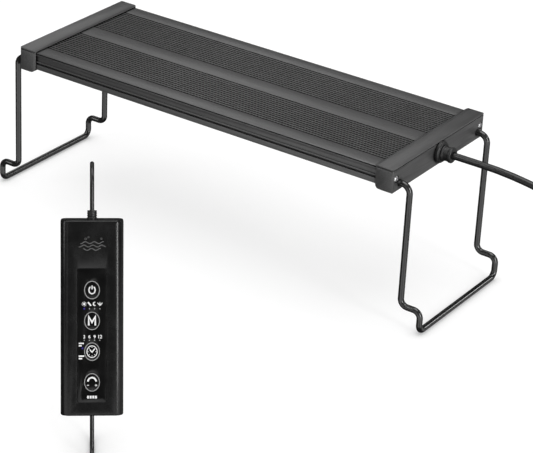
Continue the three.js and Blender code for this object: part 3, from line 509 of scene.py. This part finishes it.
def centre_line(node):
    """The rings of a CAD wire from end to end, as (centre, direction) pairs, and its radius."""
    mesh = welded_copy(node)
    ring = max(filter(is_ring, map(flat_patch, mesh.faces)), key=len)
    rings = []
    seen = set()
    while ring:
        seen |= ring
        rings.append(np.array([vertex.co for vertex in ring]))
        ring = {edge.other_vert(vertex) for vertex in ring for edge in vertex.link_edges} - seen
    mesh.free()
    centres = [Vector(points.mean(axis=0)) for points in rings]
    stations = []
    for index, points in enumerate(rings):
        ahead = centres[min(index + 1, len(rings) - 1)] - centres[max(index - 1, 0)]
        direction = Vector(np.linalg.svd(points - points.mean(axis=0))[2][2])
        stations.append((centres[index], direction if direction.dot(ahead) > 0 else -direction))
    corner_radius = np.linalg.norm(rings[0] - rings[0].mean(axis=0), axis=1).mean()
    return stations, corner_radius * math.cos(math.pi / len(rings[0]))


def smoothed(stations):
    """More stations, on the cubic curve that passes through the given ones in their directions."""
    finer = [stations[0]]
    for (start, out), (end, arrive) in zip(stations, stations[1:]):
        steps = max(1, math.ceil(math.degrees(out.angle(arrive)) / DEGREES_PER_RING))
        reach = (end - start).length
        for step in range(1, steps + 1):
            t = step / steps
            point = (
                start * (2 * t**3 - 3 * t**2 + 1)
                + out * reach * (t**3 - 2 * t**2 + t)
                + end * (3 * t**2 - 2 * t**3)
                + arrive * reach * (t**3 - t**2)
            )
            finer.append((point, out.lerp(arrive, t).normalized()))
    return finer


def sweep(stations, radius):
    """A round tube along stations, with its ends closed and their edges eased."""
    ease = radius * 0.25
    first, last = stations[0], stations[-1]
    rings = [(first[0], first[1], radius - ease)]
    rings.append((first[0] + first[1] * ease, first[1], radius))
    rings += [(point, direction, radius) for point, direction in stations[1:-1]]
    rings.append((last[0] - last[1] * ease, last[1], radius))
    rings.append((last[0], last[1], radius - ease))
    mesh = bmesh.new()
    side = first[1].orthogonal().normalized()
    made = []
    for point, direction, size in rings:
        side = (side - direction * side.dot(direction)).normalized()
        other = direction.cross(side)
        angles = [2 * math.pi * index / WIRE_SIDES for index in range(WIRE_SIDES)]
        made.append(
            [mesh.verts.new(point + (side * math.cos(a) + other * math.sin(a)) * size) for a in angles]
        )
    for near, far in zip(made, made[1:]):
        for index in range(WIRE_SIDES):
            after = (index + 1) % WIRE_SIDES
            mesh.faces.new((near[index], near[after], far[after], far[index]))
    mesh.faces.new(made[0])
    mesh.faces.new(made[-1])
    return mesh


def round_wire(node):
    """Replaces a CAD wire by a smooth one on the same centre line."""
    stations, radius = centre_line(node)
    name = node + "_round"
    return add_piece(name, as_mesh(name, sweep(smoothed(stations), radius)), node)


# ---------------------------------------------------------------- turned pieces

TURNED_SIDES = 56
CLEARANCE = 0.3  # between a lead and the bore it passes through
THREAD_PITCH = 0.8
CROSS_TURN = math.radians(27)  # how far a screw's cross is turned from upright


def eased(points, radius, closed, steps=4):
    """An outline with its corners turned into arcs, each using at most 0.4 of its shorter side."""
    count = len(points)
    outline = []
    for index, point in enumerate(points):
        corner = Vector(point)
        if not closed and index in (0, count - 1):
            outline.append(corner)
            continue
        back = Vector(points[index - 1]) - corner
        ahead = Vector(points[(index + 1) % count]) - corner
        inset = min(radius, 0.4 * back.length, 0.4 * ahead.length)
        start = corner + back.normalized() * inset
        end = corner + ahead.normalized() * inset
        for step in range(steps + 1):
            t = step / steps
            outline.append(start * (1 - t) ** 2 + corner * 2 * t * (1 - t) + end * t**2)
    return outline


def turn(profile, easing, sides=TURNED_SIDES):
    """A solid of revolution round Z. Profile points are (radius, height) in millimetres, and the
    profile either closes on itself or starts and ends on the axis."""
    closed = profile[0][0] > 0
    outline = eased(profile, easing, closed)
    mesh = bmesh.new()
    rings = []
    for radius, height in outline:
        if radius < 1e-6:
            rings.append([mesh.verts.new((0, 0, height * MM))] * sides)
            continue
        angles = [2 * math.pi * index / sides for index in range(sides)]
        circle = [Vector((radius * math.cos(a), radius * math.sin(a), height)) for a in angles]
        rings.append([mesh.verts.new(point * MM) for point in circle])
    pairs = list(zip(rings, rings[1:]))
    if closed:
        pairs.append((rings[-1], rings[0]))
    for near, far in pairs:
        for index in range(sides):
            after = (index + 1) % sides
            corners = [near[index], near[after], far[after], far[index]]
            mesh.faces.new(sorted(set(corners), key=corners.index))
    return mesh


def turned_piece(node, direction, profile, bore, easing):
    """Replaces a turned CAD node. The profile is a function of its length, radius and bore in mm."""
    matrix, length, radius = turning_axis(node, direction)
    mesh = turn(profile(length / MM, radius / MM, bore), easing)
    mesh.transform(matrix)
    name = node + "_turned"
    return add_piece(name, as_mesh(name, mesh), node)


def ribs(radius, start, end, count, depth):
    """Profile points for a grip with shallow grooves round it."""
    pitch = (end - start) / count
    points = []
    for index in range(count):
        foot = start + pitch * index
        points += [(radius, foot), (radius, foot + pitch * 0.6)]
        points += [(radius - depth, foot + pitch * 0.65), (radius - depth, foot + pitch * 0.95)]
    return points + [(radius, end)]


def boolean(base, *cutters):
    """A bmesh with other bmeshes cut out of it."""

    def temporary(name, mesh):
        data = bpy.data.meshes.new(name)
        mesh.to_mesh(data)
        mesh.free()
        obj = bpy.data.objects.new(name, data)
        bpy.context.scene.collection.objects.link(obj)
        return obj

    body = temporary("boolean_base", base)
    tools = [temporary("boolean_tool", cutter) for cutter in cutters]
    for tool in tools:
        modifier = body.modifiers.new("cut", "BOOLEAN")
        modifier.object = tool
        modifier.operation = "DIFFERENCE"
        modifier.solver = "EXACT"
    bpy.context.view_layer.update()
    evaluated = body.evaluated_get(bpy.context.evaluated_depsgraph_get())
    result = bmesh.new()
    result.from_mesh(evaluated.to_mesh())
    for obj in [body, *tools]:
        data = obj.data
        bpy.data.objects.remove(obj)
        bpy.data.meshes.remove(data)
    return result


def box_mesh(low, high):
    """A box between two corners given in millimetres."""
    mesh = bmesh.new()
    size = Vector(high) - Vector(low)
    centre = (Vector(high) + Vector(low)) / 2
    bmesh.ops.create_cube(mesh, size=1)
    mesh.transform(Matrix.Translation(centre * MM) @ Matrix.Diagonal((*(size * MM), 1)))
    return mesh


def cross_head_screw(node, outward, head_height, shank_radius):
    """Replaces a CAD screw by a domed one with a tapered cross recess."""
    matrix, length, radius = turning_axis(node, outward)
    top = length / MM
    head = radius / MM
    foot = top - head_height
    thread_start = 1.6
    plain_length = 2.5  # of the tip and the neck together
    thread = []
    for index in range(int((foot - plain_length) / THREAD_PITCH)):
        along = thread_start + index * THREAD_PITCH
        thread += [(shank_radius * 0.84, along), (shank_radius, along + THREAD_PITCH / 2)]
    rim = 0.25 * head_height
    dome = [
        (head * math.cos(angle), foot + rim + (head_height - rim) * math.sin(angle))
        for angle in np.linspace(0, math.radians(75), 6)
    ]
    profile = [(0, 0), *thread, (shank_radius, foot), (head, foot), *dome, (0, top)]
    body = turn(profile, 0.12, sides=40)
    arm = head * 0.62
    half = head * 0.13
    depth = head_height * 0.6
    lengthways = box_mesh((-arm, -half, top - depth), (arm, half, top + 1))
    crossways = box_mesh((-half, -arm, top - depth), (half, arm, top + 1))
    mesh = boolean(body, lengthways, crossways)
    mesh.transform(matrix @ Matrix.Rotation(CROSS_TURN, 4, "Z"))
    name = node + "_turned"
    return add_piece(name, as_mesh(name, mesh), node)


# ---------------------------------------------------------------- the light head


def light_head():
    refine("heatsink_body", 0.12)
    for end, outward in (("left", -X_AXIS), ("right", X_AXIS)):
        refine("end_cap_" + end, 0.22, segments=3)
        refine("end_gasket_" + end, 0.1)
        round_wire("bracket_" + end)
        for side in ("front", "rear"):
            cross_head_screw(f"cap_screw_{end}_{side}", outward, head_height=1.3, shank_radius=1)
    refine("lens_panel", 0.15)
    for side in ("front", "rear"):
        refine("lens_seal_" + side, 0.12)


def led_windows():
    """The resin windows of the light sources, in their packages under the board."""
    board = points_of("led_board")
    lowest = board[:, 2].min()
    chip_faces = board[board[:, 2] < lowest + WELD]

    def spans(values):
        edges = sorted(set(np.round(values, 6)))
        return list(zip(edges[::2], edges[1::2]))

    names = ("white", "blue", "red")
    meshes = {name: bmesh.new() for name in names}
    margin = 0.45 * MM
    crown = 0.22 * MM
    for column, (x0, x1) in enumerate(spans(chip_faces[:, 0])):
        for row, (y0, y1) in enumerate(spans(chip_faces[:, 1])):
            turn_of_six = (column + 2 * row) % 6
            name = {3: "blue", 5: "red"}.get(turn_of_six, "white")
            centre = Vector(((x0 + x1) / 2, (y0 + y1) / 2, lowest))
            half = Vector(((x1 - x0) / 2 - margin, (y1 - y0) / 2 - margin, crown))
            window = bmesh.ops.create_uvsphere(
                meshes[name], u_segments=24, v_segments=12, radius=1
            )["verts"]
            for vertex in window:
                squared = [math.copysign(abs(value) ** 0.55, value) for value in vertex.co[:2]]
                vertex.co = centre + Vector((squared[0], squared[1], vertex.co.z)) * half
    emitters = {
        "white": light_emitter("phosphor", (0.85, 0.66, 0.16)),
        "blue": light_emitter("blue_resin", (0.16, 0.28, 0.75)),
        "red": light_emitter("red_resin", (0.7, 0.12, 0.1)),
    }
    for name, mesh in meshes.items():
        add_piece(
            name + "_led_windows",
            as_mesh(name + "_led_windows", mesh),
            beside="led_board",
            material=emitters[name],
        )


# ---------------------------------------------------------------- gland, plugs and leads


def gland_profile(length, radius, bore):
    flange = length - 2.8
    stem = 3.4
    return [
        (bore, 0), (stem, 0), (stem, flange), (radius, flange), (radius, length - 0.9),
        (radius - 0.7, length - 0.5), (radius - 0.9, length), (bore, length),
    ]


def relief_profile(length, radius, bore):
    neck = radius - 0.5
    return [
        (bore, 0), (radius + 0.3, 0), (radius + 0.3, 0.5), (neck, 1.6), (neck, length - 2.4),
        (radius - 0.05, length - 2), (radius - 0.05, length - 0.5), (radius - 0.5, length),
        (bore, length),
    ]


def plug_profile(length, radius, bore):
    return [
        (bore, 0), (radius - 1, 0), (radius - 1, 1), (radius, 7), *ribs(radius, 9, 20, 6, 0.35),
        (radius, length), (bore, length),
    ]


def socket_profile(length, radius, bore):
    barrel = 3.05
    tail = 2.4
    return [
        (barrel, 0), (radius, 0), *ribs(radius, 3, length - 12, 6, 0.35), (radius, length - 9),
        (tail, length - 1), (tail, length), (bore, length), (bore, 13), (barrel, 12),
    ]


def power_socket_profile(length, radius, bore):
    mouth = 3.7
    tail = 2.4
    return [
        (bore, 0), (tail, 0), (tail, 1), (radius, 9), *ribs(radius, 12, length - 5, 7, 0.35),
        (radius, length), (mouth, length), (mouth, length - 12), (bore, length - 12),
    ]


def bush_profile(length, radius, bore):
    neck = radius - 1
    flange = 3.0
    grooved = ribs(neck, length - 4.6, length - 0.6, 3, 0.3) if length > 8 else []
    return [
        (bore, 0), (radius, 0), (radius, flange), (neck, flange), *grooved, (neck, length),
        (bore, length),
    ]


def cables():
    cable_bore, lead_bore = (
        centre_line(node)[1] / MM + CLEARANCE for node in ("light_cable", "controller_lead")
    )
    for node in ("light_cable", "lead_positive", "lead_negative", "controller_lead", "power_lead"):
        round_wire(node)
    turned_piece("gland_body", X_AXIS, gland_profile, cable_bore, easing=0.3)
    turned_piece("strain_relief", X_AXIS, relief_profile, cable_bore, easing=0.3)
    floor_run = long_axis("inline_plug", towards="inline_socket")
    turned_piece("inline_plug", floor_run, plug_profile, cable_bore, easing=0.5)
    turned_piece("inline_socket", floor_run, socket_profile, lead_bore, easing=0.5)
    power_run = long_axis("power_socket", towards="power_socket_sleeve")
    turned_piece("power_socket", power_run, power_socket_profile, lead_bore, easing=0.5)
    turned_piece("upper_lead_bush", UPWARD, bush_profile, lead_bore, easing=0.4)
    turned_piece("lower_lead_bush", -UPWARD, bush_profile, lead_bore, easing=0.2)


# ---------------------------------------------------------------- controller

INK_THICKNESS = 0.03
LIGHT_PITCH = 2.93  # between the indicator lights of a row
LIGHTS_PER_ROW = 4
BAR_START = -7.5  # across the panel
BAR_STEP = 1.4  # down it
LOWEST_BARS_Z = 10.9
PICTOGRAM_Z = 97


class Artwork:
    """Marks printed on the controller's face, drawn in its X and Z in millimetres round an origin."""

    def __init__(self, x=0.0, z=0.0):
        self.mesh = bmesh.new()
        self.origin = Vector((x, z))

    def fill(self, outline):
        corners = [self.origin + Vector(point) for point in outline]
        self.mesh.faces.new([self.mesh.verts.new((x, 0, z)) for x, z in corners])

    def line(self, points, width, closed=False):
        """A line of even width through points, mitred at its corners."""
        points = [self.origin + Vector(point) for point in points]
        count = len(points)
        rails = []
        for index, point in enumerate(points):
            before = points[index - 1] if closed or index else None
            after = points[(index + 1) % count] if closed or index < count - 1 else None
            arriving = (point - before).normalized() if before else None
            leaving = (after - point).normalized() if after else None
            arriving, leaving = arriving or leaving, leaving or arriving
            along = (arriving + leaving).normalized()
            miter = width / 2 / max(along.dot(leaving), 0.4)
            offset = Vector((-along.y, along.x)) * miter
            rims = (point - offset, point + offset)
            rails.append([self.mesh.verts.new((rim.x, 0, rim.y)) for rim in rims])
        if closed:
            rails.append(rails[0])
        for (a, b), (c, d) in zip(rails, rails[1:]):
            self.mesh.faces.new((a, c, d, b))

    def arc(self, radius_x, radius_z, width, start=0, end=360, x=0.0, z=0.0, steps=48):
        closed = end - start == 360
        count = steps if closed else steps + 1
        angles = [math.radians(start + (end - start) * index / steps) for index in range(count)]
        points = [(x + radius_x * math.cos(a), z + radius_z * math.sin(a)) for a in angles]
        self.line(points, width, closed)

    def disc(self, radius, x=0.0, z=0.0, sides=20):
        angles = [2 * math.pi * index / sides for index in range(sides)]
        self.fill([(x + radius * math.cos(a), z + radius * math.sin(a)) for a in angles])

    def letters(self, text, height, x=0.0, z=0.0):
        """Letters or figures, centred."""
        curve = bpy.data.curves.new("letters", "FONT")
        curve.body = text
        curve.align_x = "CENTER"
        curve.align_y = "CENTER"
        curve.size = height * 1.4
        curve.offset = 0.035 * height
        obj = bpy.data.objects.new("letters", curve)
        bpy.context.scene.collection.objects.link(obj)
        bpy.context.view_layer.update()
        outlines = obj.evaluated_get(bpy.context.evaluated_depsgraph_get()).to_mesh()
        shift = self.origin + Vector((x, z))
        places = [(v.co.x + shift.x, 0, v.co.y + shift.y) for v in outlines.vertices]
        known = [self.mesh.verts.new(place) for place in places]
        for face in outlines.polygons:
            self.mesh.faces.new([known[index] for index in face.vertices])
        bpy.data.objects.remove(obj)

    def finish(self, name, material, beside):
        """Thickens the marks and lays them on the face of a CAD node."""
        depth = extent(beside, INWARD)[0] - CONTROLLER.translation.dot(INWARD)
        bmesh.ops.remove_doubles(self.mesh, verts=self.mesh.verts, dist=1e-4)
        faces = bmesh.ops.extrude_face_region(self.mesh, geom=self.mesh.faces[:])["geom"]
        raised = [item for item in faces if isinstance(item, bmesh.types.BMVert)]
        bmesh.ops.translate(self.mesh, verts=raised, vec=(0, -INK_THICKNESS, 0))
        self.mesh.transform(Matrix.Scale(MM, 4))
        self.mesh.transform(CONTROLLER @ Matrix.Translation((0, depth, 0)))
        return add_piece(name, as_mesh(name, self.mesh), beside=beside, material=material)


def height_on_face(node):
    """A CAD node's height up the controller in millimetres."""
    return sum(extent(node, UPWARD)) / 2 / MM - CONTROLLER.translation.dot(UPWARD) / MM


def light_place(index):
    """Where an indicator light of a row is across the panel."""
    return (index - 1.5) * LIGHT_PITCH


def draw_power(art):
    art.arc(1.75, 2.1, 0.65, start=120, end=420)
    art.line([(0, 0.4), (0, 2.6)], 0.6)


def draw_mode(art):
    art.line([(-1.85, -2.6), (-1.85, 2.4), (0, -0.8), (1.85, 2.4), (1.85, -2.6)], 0.95)


def draw_timer(art):
    art.arc(2.9, 3.3, 0.45)
    art.line([(-1.3, 1.2), (0, -0.3), (1.5, 1.6)], 0.65)
    for degrees in range(0, 360, 45):
        tick = Vector((math.cos(math.radians(degrees)), 1.1 * math.sin(math.radians(degrees))))
        art.line([tick * 2.0, tick * 2.5], 0.35)


def draw_dimmer(art):
    art.arc(2.4, 2.7, 0.95, start=10, end=170)
    art.line([(-2.9, -1.7), (-1.7, -1.7)], 0.4)
    art.line([(1.7, -1.7), (2.9, -1.7)], 0.4)
    art.line([(2.3, -2.3), (2.3, -1.95)], 0.4)
    art.line([(2.3, -1.45), (2.3, -1.1)], 0.4)


def draw_channel_icons(art):
    """Sun, tube, moon and plant, over the four mode lights."""
    sun, tube, moon, plant = map(light_place, range(LIGHTS_PER_ROW))
    art.disc(0.7, x=sun)
    for degrees in range(0, 360, 45):
        ray = Vector((math.cos(math.radians(degrees)), math.sin(math.radians(degrees))))
        art.line([ray * 0.95 + Vector((sun, 0)), ray * 1.4 + Vector((sun, 0))], 0.32)
    art.line([(tube - 0.85, 1), (tube + 0.85, -1)], 0.85)
    limb = [(1.05 * math.cos(a), 1.2 * math.sin(a)) for a in np.linspace(0.9, 5.4, 20)]
    bite = [(0.42 + 0.75 * math.cos(a), 0.12 + 0.85 * math.sin(a)) for a in np.linspace(5.0, 1.3, 14)]
    art.fill([(moon + x, z) for x, z in limb + bite])
    for lean in (-1, 0, 1):
        tip = (plant + 1.35 * lean, 1.3 - 0.35 * abs(lean))
        waist = (plant + 0.9 * lean - 0.3, 0.1)
        other = (plant + 0.9 * lean + 0.45, 0.0)
        art.fill([(plant, -1.25), other, tip, waist])


ICONS = {"dimmer": draw_dimmer, "timer": draw_timer, "mode": draw_mode, "power": draw_power}


def button_marks(white, ring_ink):
    """A ring and an icon on each button."""
    for name, draw_icon in ICONS.items():
        node = name + "_button"
        ring = Artwork(0, height_on_face(node))
        ring.arc(4.2, 5.0, 0.4)
        ring.finish(name + "_button_ring", ring_ink, node)
        icon = Artwork(0, height_on_face(node))
        draw_icon(icon)
        icon.finish(name + "_button_icon", white, node)


def indicator_marks(white, lamp_ink, lit):
    """Both rows of lights with what stands over them. The first mode light is lit, and so is a lamp
    beside the timer button."""
    mode_z = height_on_face("mode_light_guide")
    timer_z = height_on_face("timer_light_guide")
    icons = Artwork(0, mode_z + 2.7)
    draw_channel_icons(icons)
    icons.finish("mode_icons", white, "control_panel")
    hours = Artwork(0, timer_z + 1.9)
    for index, figures in enumerate(("3", "6", "9", "12")):
        hours.letters(figures, 1.9, x=light_place(index))
    hours.finish("timer_figures", white, "control_panel")
    for name, z, first_unlit in (("mode", mode_z, 1), ("timer", timer_z, 0)):
        dots = Artwork(0, z)
        for index in range(first_unlit, LIGHTS_PER_ROW):
            dots.disc(0.32, x=light_place(index))
        dots.finish(name + "_lights", lamp_ink, "control_panel")
    lamps = Artwork()
    lamps.disc(0.55, x=light_place(0), z=mode_z)
    lamps.disc(0.55, x=-5.4, z=height_on_face("timer_button") + 1.9)
    lamps.finish("lit_lamps", lit, "control_panel")


def panel_bars(white):
    """Plain bars in place of words: two pairs beside the timer button, and a row near the lower end."""
    bars = Artwork()
    timer_button_z = height_on_face("timer_button")
    for offset, lengths in ((4.7, (2.9, 1.7)), (-2.6, (3.1, 2.0))):
        for row, length in enumerate(lengths):
            z = timer_button_z + offset - BAR_STEP * row
            bars.line([(BAR_START, z), (BAR_START + length, z)], 0.8)
    for index in range(4):
        x = (index - 1.5) * 1.5
        bars.line([(x - 0.55, LOWEST_BARS_Z), (x + 0.55, LOWEST_BARS_Z)], 1.6)
    bars.finish("panel_bars", white, "control_panel")


def water_mark(material):
    """A plain pictogram of ripples and bubbles above the panel."""
    art = Artwork(0, PICTOGRAM_Z)
    for row, length in enumerate((13, 15, 10)):
        xs = np.linspace(-length / 2, length / 2, 40)
        art.line([(x, 1.9 * (1 - row) + 0.55 * math.sin(x * 1.25 + row)) for x in xs], 0.5)
    for x, z, radius in ((-3.6, 4.0, 0.55), (-2.0, 5.0, 0.4), (5.2, 4.1, 0.45)):
        art.arc(radius, radius, 0.25, x=x, z=z, steps=20)
    art.finish("water_pictogram", material, "controller_front_shell")


def controller():
    for shell in ("controller_front_shell", "controller_back_shell"):
        refine(shell, 0.15)
    refine("control_panel", 0.06)
    for name in ICONS:
        refine(name + "_button", 0.1)
    for level in ("lower", "upper"):
        for side in ("left", "right"):
            cross_head_screw(f"case_screw_{level}_{side}", INWARD, head_height=1.4, shank_radius=0.9)
    white = printed_ink("white_ink", 0.8)
    lit = light_emitter("lit_blue", (0.02, 0.012, 0.17), strength=0.3)
    button_marks(white, ring_ink=printed_ink("grey_ink", 0.32))
    indicator_marks(white, printed_ink("lamp_window", 0.35), lit)
    panel_bars(white)
    water_mark(printed_ink("faint_ink", 0.09))


# ---------------------------------------------------------------- stage, light and camera

# Azimuths round the light's front, in degrees
LEFT_STRIP = 6
RIGHT_STRIP = 75
FAR_SIDE = 146

PAPER_GLOW = 0.76  # what the camera sees of the open floor's own light
FLOOR_GLOW = 0.04  # what reflections see of it all round
FLOOR_SHEEN = {LEFT_STRIP: 1.3, RIGHT_STRIP: 1.3, FAR_SIDE: 0.35}  # painted reflections towards both strip lights and the far side, added towards an azimuth


def seen_or_reflected(surface, seen, reflected):
    """Joins a shader that the camera sees and another one that only lights and reflections meet."""
    mix = surface.nodes.new("ShaderNodeMixShader")
    for index, value in enumerate((surface.add("LightPath", output="Is Camera Ray"), reflected, seen)):
        surface.join(mix.inputs[index], value)
    surface.join(surface.nodes["Material Output"].inputs["Surface"], mix.outputs[0])


def floor():
    """White paper to the camera, with a painted contact shadow near what stands on it. Reflections see
    only an even glow, with a painted sheen towards both strip lights and the far side."""
    mesh = bmesh.new()
    bmesh.ops.create_grid(mesh, x_segments=1, y_segments=1, size=20)
    data = bpy.data.meshes.new("floor")
    mesh.to_mesh(data)
    mesh.free()
    obj = bpy.data.objects.new("floor", data)
    obj.location.z = FLOOR_Z - 0.1 * MM
    surface = Surface("floor_paper", Base_Color=grey(0.27), Roughness=0.9)
    # Painted contact shadow: the floor's glow dimmed where things stand close to it.
    glow_with_painted_contact_shadow = surface.maths("MULTIPLY", surface.occlusion_for_painted_shade(10, 0.5), PAPER_GLOW)
    surface.set(Emission_Color=(1, 1, 1), Emission_Strength=glow_with_painted_contact_shadow)
    sheen = FLOOR_GLOW
    for azimuth, strength in FLOOR_SHEEN.items():
        facing = surface.add("VectorMath", output="Value", settings={"operation": "DOT_PRODUCT"})
        surface.join(facing.node.inputs[0], surface.add("NewGeometry", output="Incoming"))
        surface.join(facing.node.inputs[1], -direction_at(azimuth, 0))
        sheen = surface.maths("ADD", surface.spread(facing, 0, strength, start=0.72, end=0.84), sheen)
    glow = surface.add("Emission", Color=grey(1), Strength=sheen)
    seen_or_reflected(surface, surface.shader.outputs[0], glow)
    data.materials.append(surface.material)
    bpy.context.scene.collection.objects.link(obj)


def direction_at(azimuth, elevation):
    """The direction of a compass angle round the light's front and a height, both in degrees."""
    turned, raised = math.radians(azimuth), math.radians(elevation)
    return Vector(
        (math.sin(turned) * math.cos(raised), -math.cos(turned) * math.cos(raised), math.sin(raised))
    )


def soft_sky(name, azimuth, elevation, strength, spread):
    """Even light from a disc of sky, in watts to the square metre and with its width in degrees."""
    data = bpy.data.lights.new(name, "SUN")
    data.energy = strength
    data.angle = math.radians(spread)
    obj = bpy.data.objects.new(name, data)
    obj.rotation_euler = direction_at(azimuth, elevation).to_track_quat("Z", "Y").to_euler()
    bpy.context.scene.collection.objects.link(obj)


def strip_light(name, azimuth, elevation, power, width, height, distance=5.0):
    """A tall softbox that faces the object, its power in watts and its sizes in metres."""
    data = bpy.data.lights.new(name, "AREA")
    data.shape = "RECTANGLE"
    data.size, data.size_y = width, height
    data.energy = power
    obj = bpy.data.objects.new(name, data)
    direction = direction_at(azimuth, elevation)
    obj.location = CAMERA_TARGET + direction * distance
    obj.rotation_euler = direction.to_track_quat("Z", "Y").to_euler()
    bpy.context.scene.collection.objects.link(obj)


def surroundings():
    """White behind the object where the camera looks; reflections see a room lit from the front."""
    world = bpy.data.worlds.new("studio")
    world.use_nodes = True
    nodes, links = world.node_tree.nodes, world.node_tree.links
    facing = nodes.new("ShaderNodeVectorMath")
    facing.operation = "DOT_PRODUCT"
    facing.inputs[1].default_value = TOWARDS_CAMERA
    links.new(nodes.new("ShaderNodeTexCoord").outputs["Generated"], facing.inputs[0])
    brightness = nodes.new("ShaderNodeMapRange")
    for name, value in {"From Min": -0.7, "From Max": 0.9, "To Min": 0.02, "To Max": 0.09}.items():
        brightness.inputs[name].default_value = value
    links.new(facing.outputs["Value"], brightness.inputs["Value"])
    mix = nodes.new("ShaderNodeMix")
    mix.data_type = "RGBA"
    mix.inputs[7].default_value = (1, 1, 1, 1)
    links.new(nodes.new("ShaderNodeLightPath").outputs["Is Camera Ray"], mix.inputs[0])
    links.new(brightness.outputs["Result"], mix.inputs[6])
    links.new(mix.outputs[2], nodes["Background"].inputs["Color"])
    bpy.context.scene.world = world


def studio():
    floor()
    soft_sky("overhead", azimuth=186, elevation=87, strength=2.15, spread=56)
    soft_sky("behind", azimuth=222, elevation=34, strength=0.2, spread=24)
    soft_sky("rear_right", azimuth=145, elevation=22, strength=0.3, spread=12)
    strip_light("edge_strip", azimuth=-36, elevation=28, power=58, width=0.9, height=3.5)
    strip_light("left_strip", LEFT_STRIP, elevation=24, power=12, width=0.5, height=4.4)
    strip_light("right_strip", RIGHT_STRIP, elevation=14, power=200, width=0.9, height=4.4)
    surroundings()
    bpy.context.scene.view_settings.view_transform = "Standard"


def camera():
    sin_a, cos_a = math.sin(CAMERA_AZIMUTH), math.cos(CAMERA_AZIMUTH)
    sin_e, cos_e = math.sin(CAMERA_ELEVATION), math.cos(CAMERA_ELEVATION)
    forward = Vector((-sin_a * cos_e, cos_a * cos_e, -sin_e))
    level = Vector((cos_a, sin_a, 0))
    right = level * math.cos(CAMERA_ROLL) + level.cross(forward) * math.sin(CAMERA_ROLL)
    up = right.cross(forward)
    data = bpy.data.cameras.new("camera")
    data.lens = CAMERA_LENS
    data.clip_start, data.clip_end = 0.05, 60
    obj = bpy.data.objects.new("camera", data)
    obj.matrix_world = Matrix((right, up, -forward)).transposed().to_4x4()
    obj.location = CAMERA_TARGET - forward * CAMERA_DISTANCE
    bpy.context.scene.collection.objects.link(obj)
    bpy.context.scene.camera = obj


# ---------------------------------------------------------------- the whole model


def dress_cad_nodes():
    """Gives every CAD node its own material; those that no piece stands for keep their shape."""
    for node, obj in frame["nodes"].items():
        obj.data.materials.clear()
        obj.data.materials.append(MATERIALS[SLOTS[node]])


dress_cad_nodes()
light_head()
led_windows()
cables()
controller()
studio()
camera()
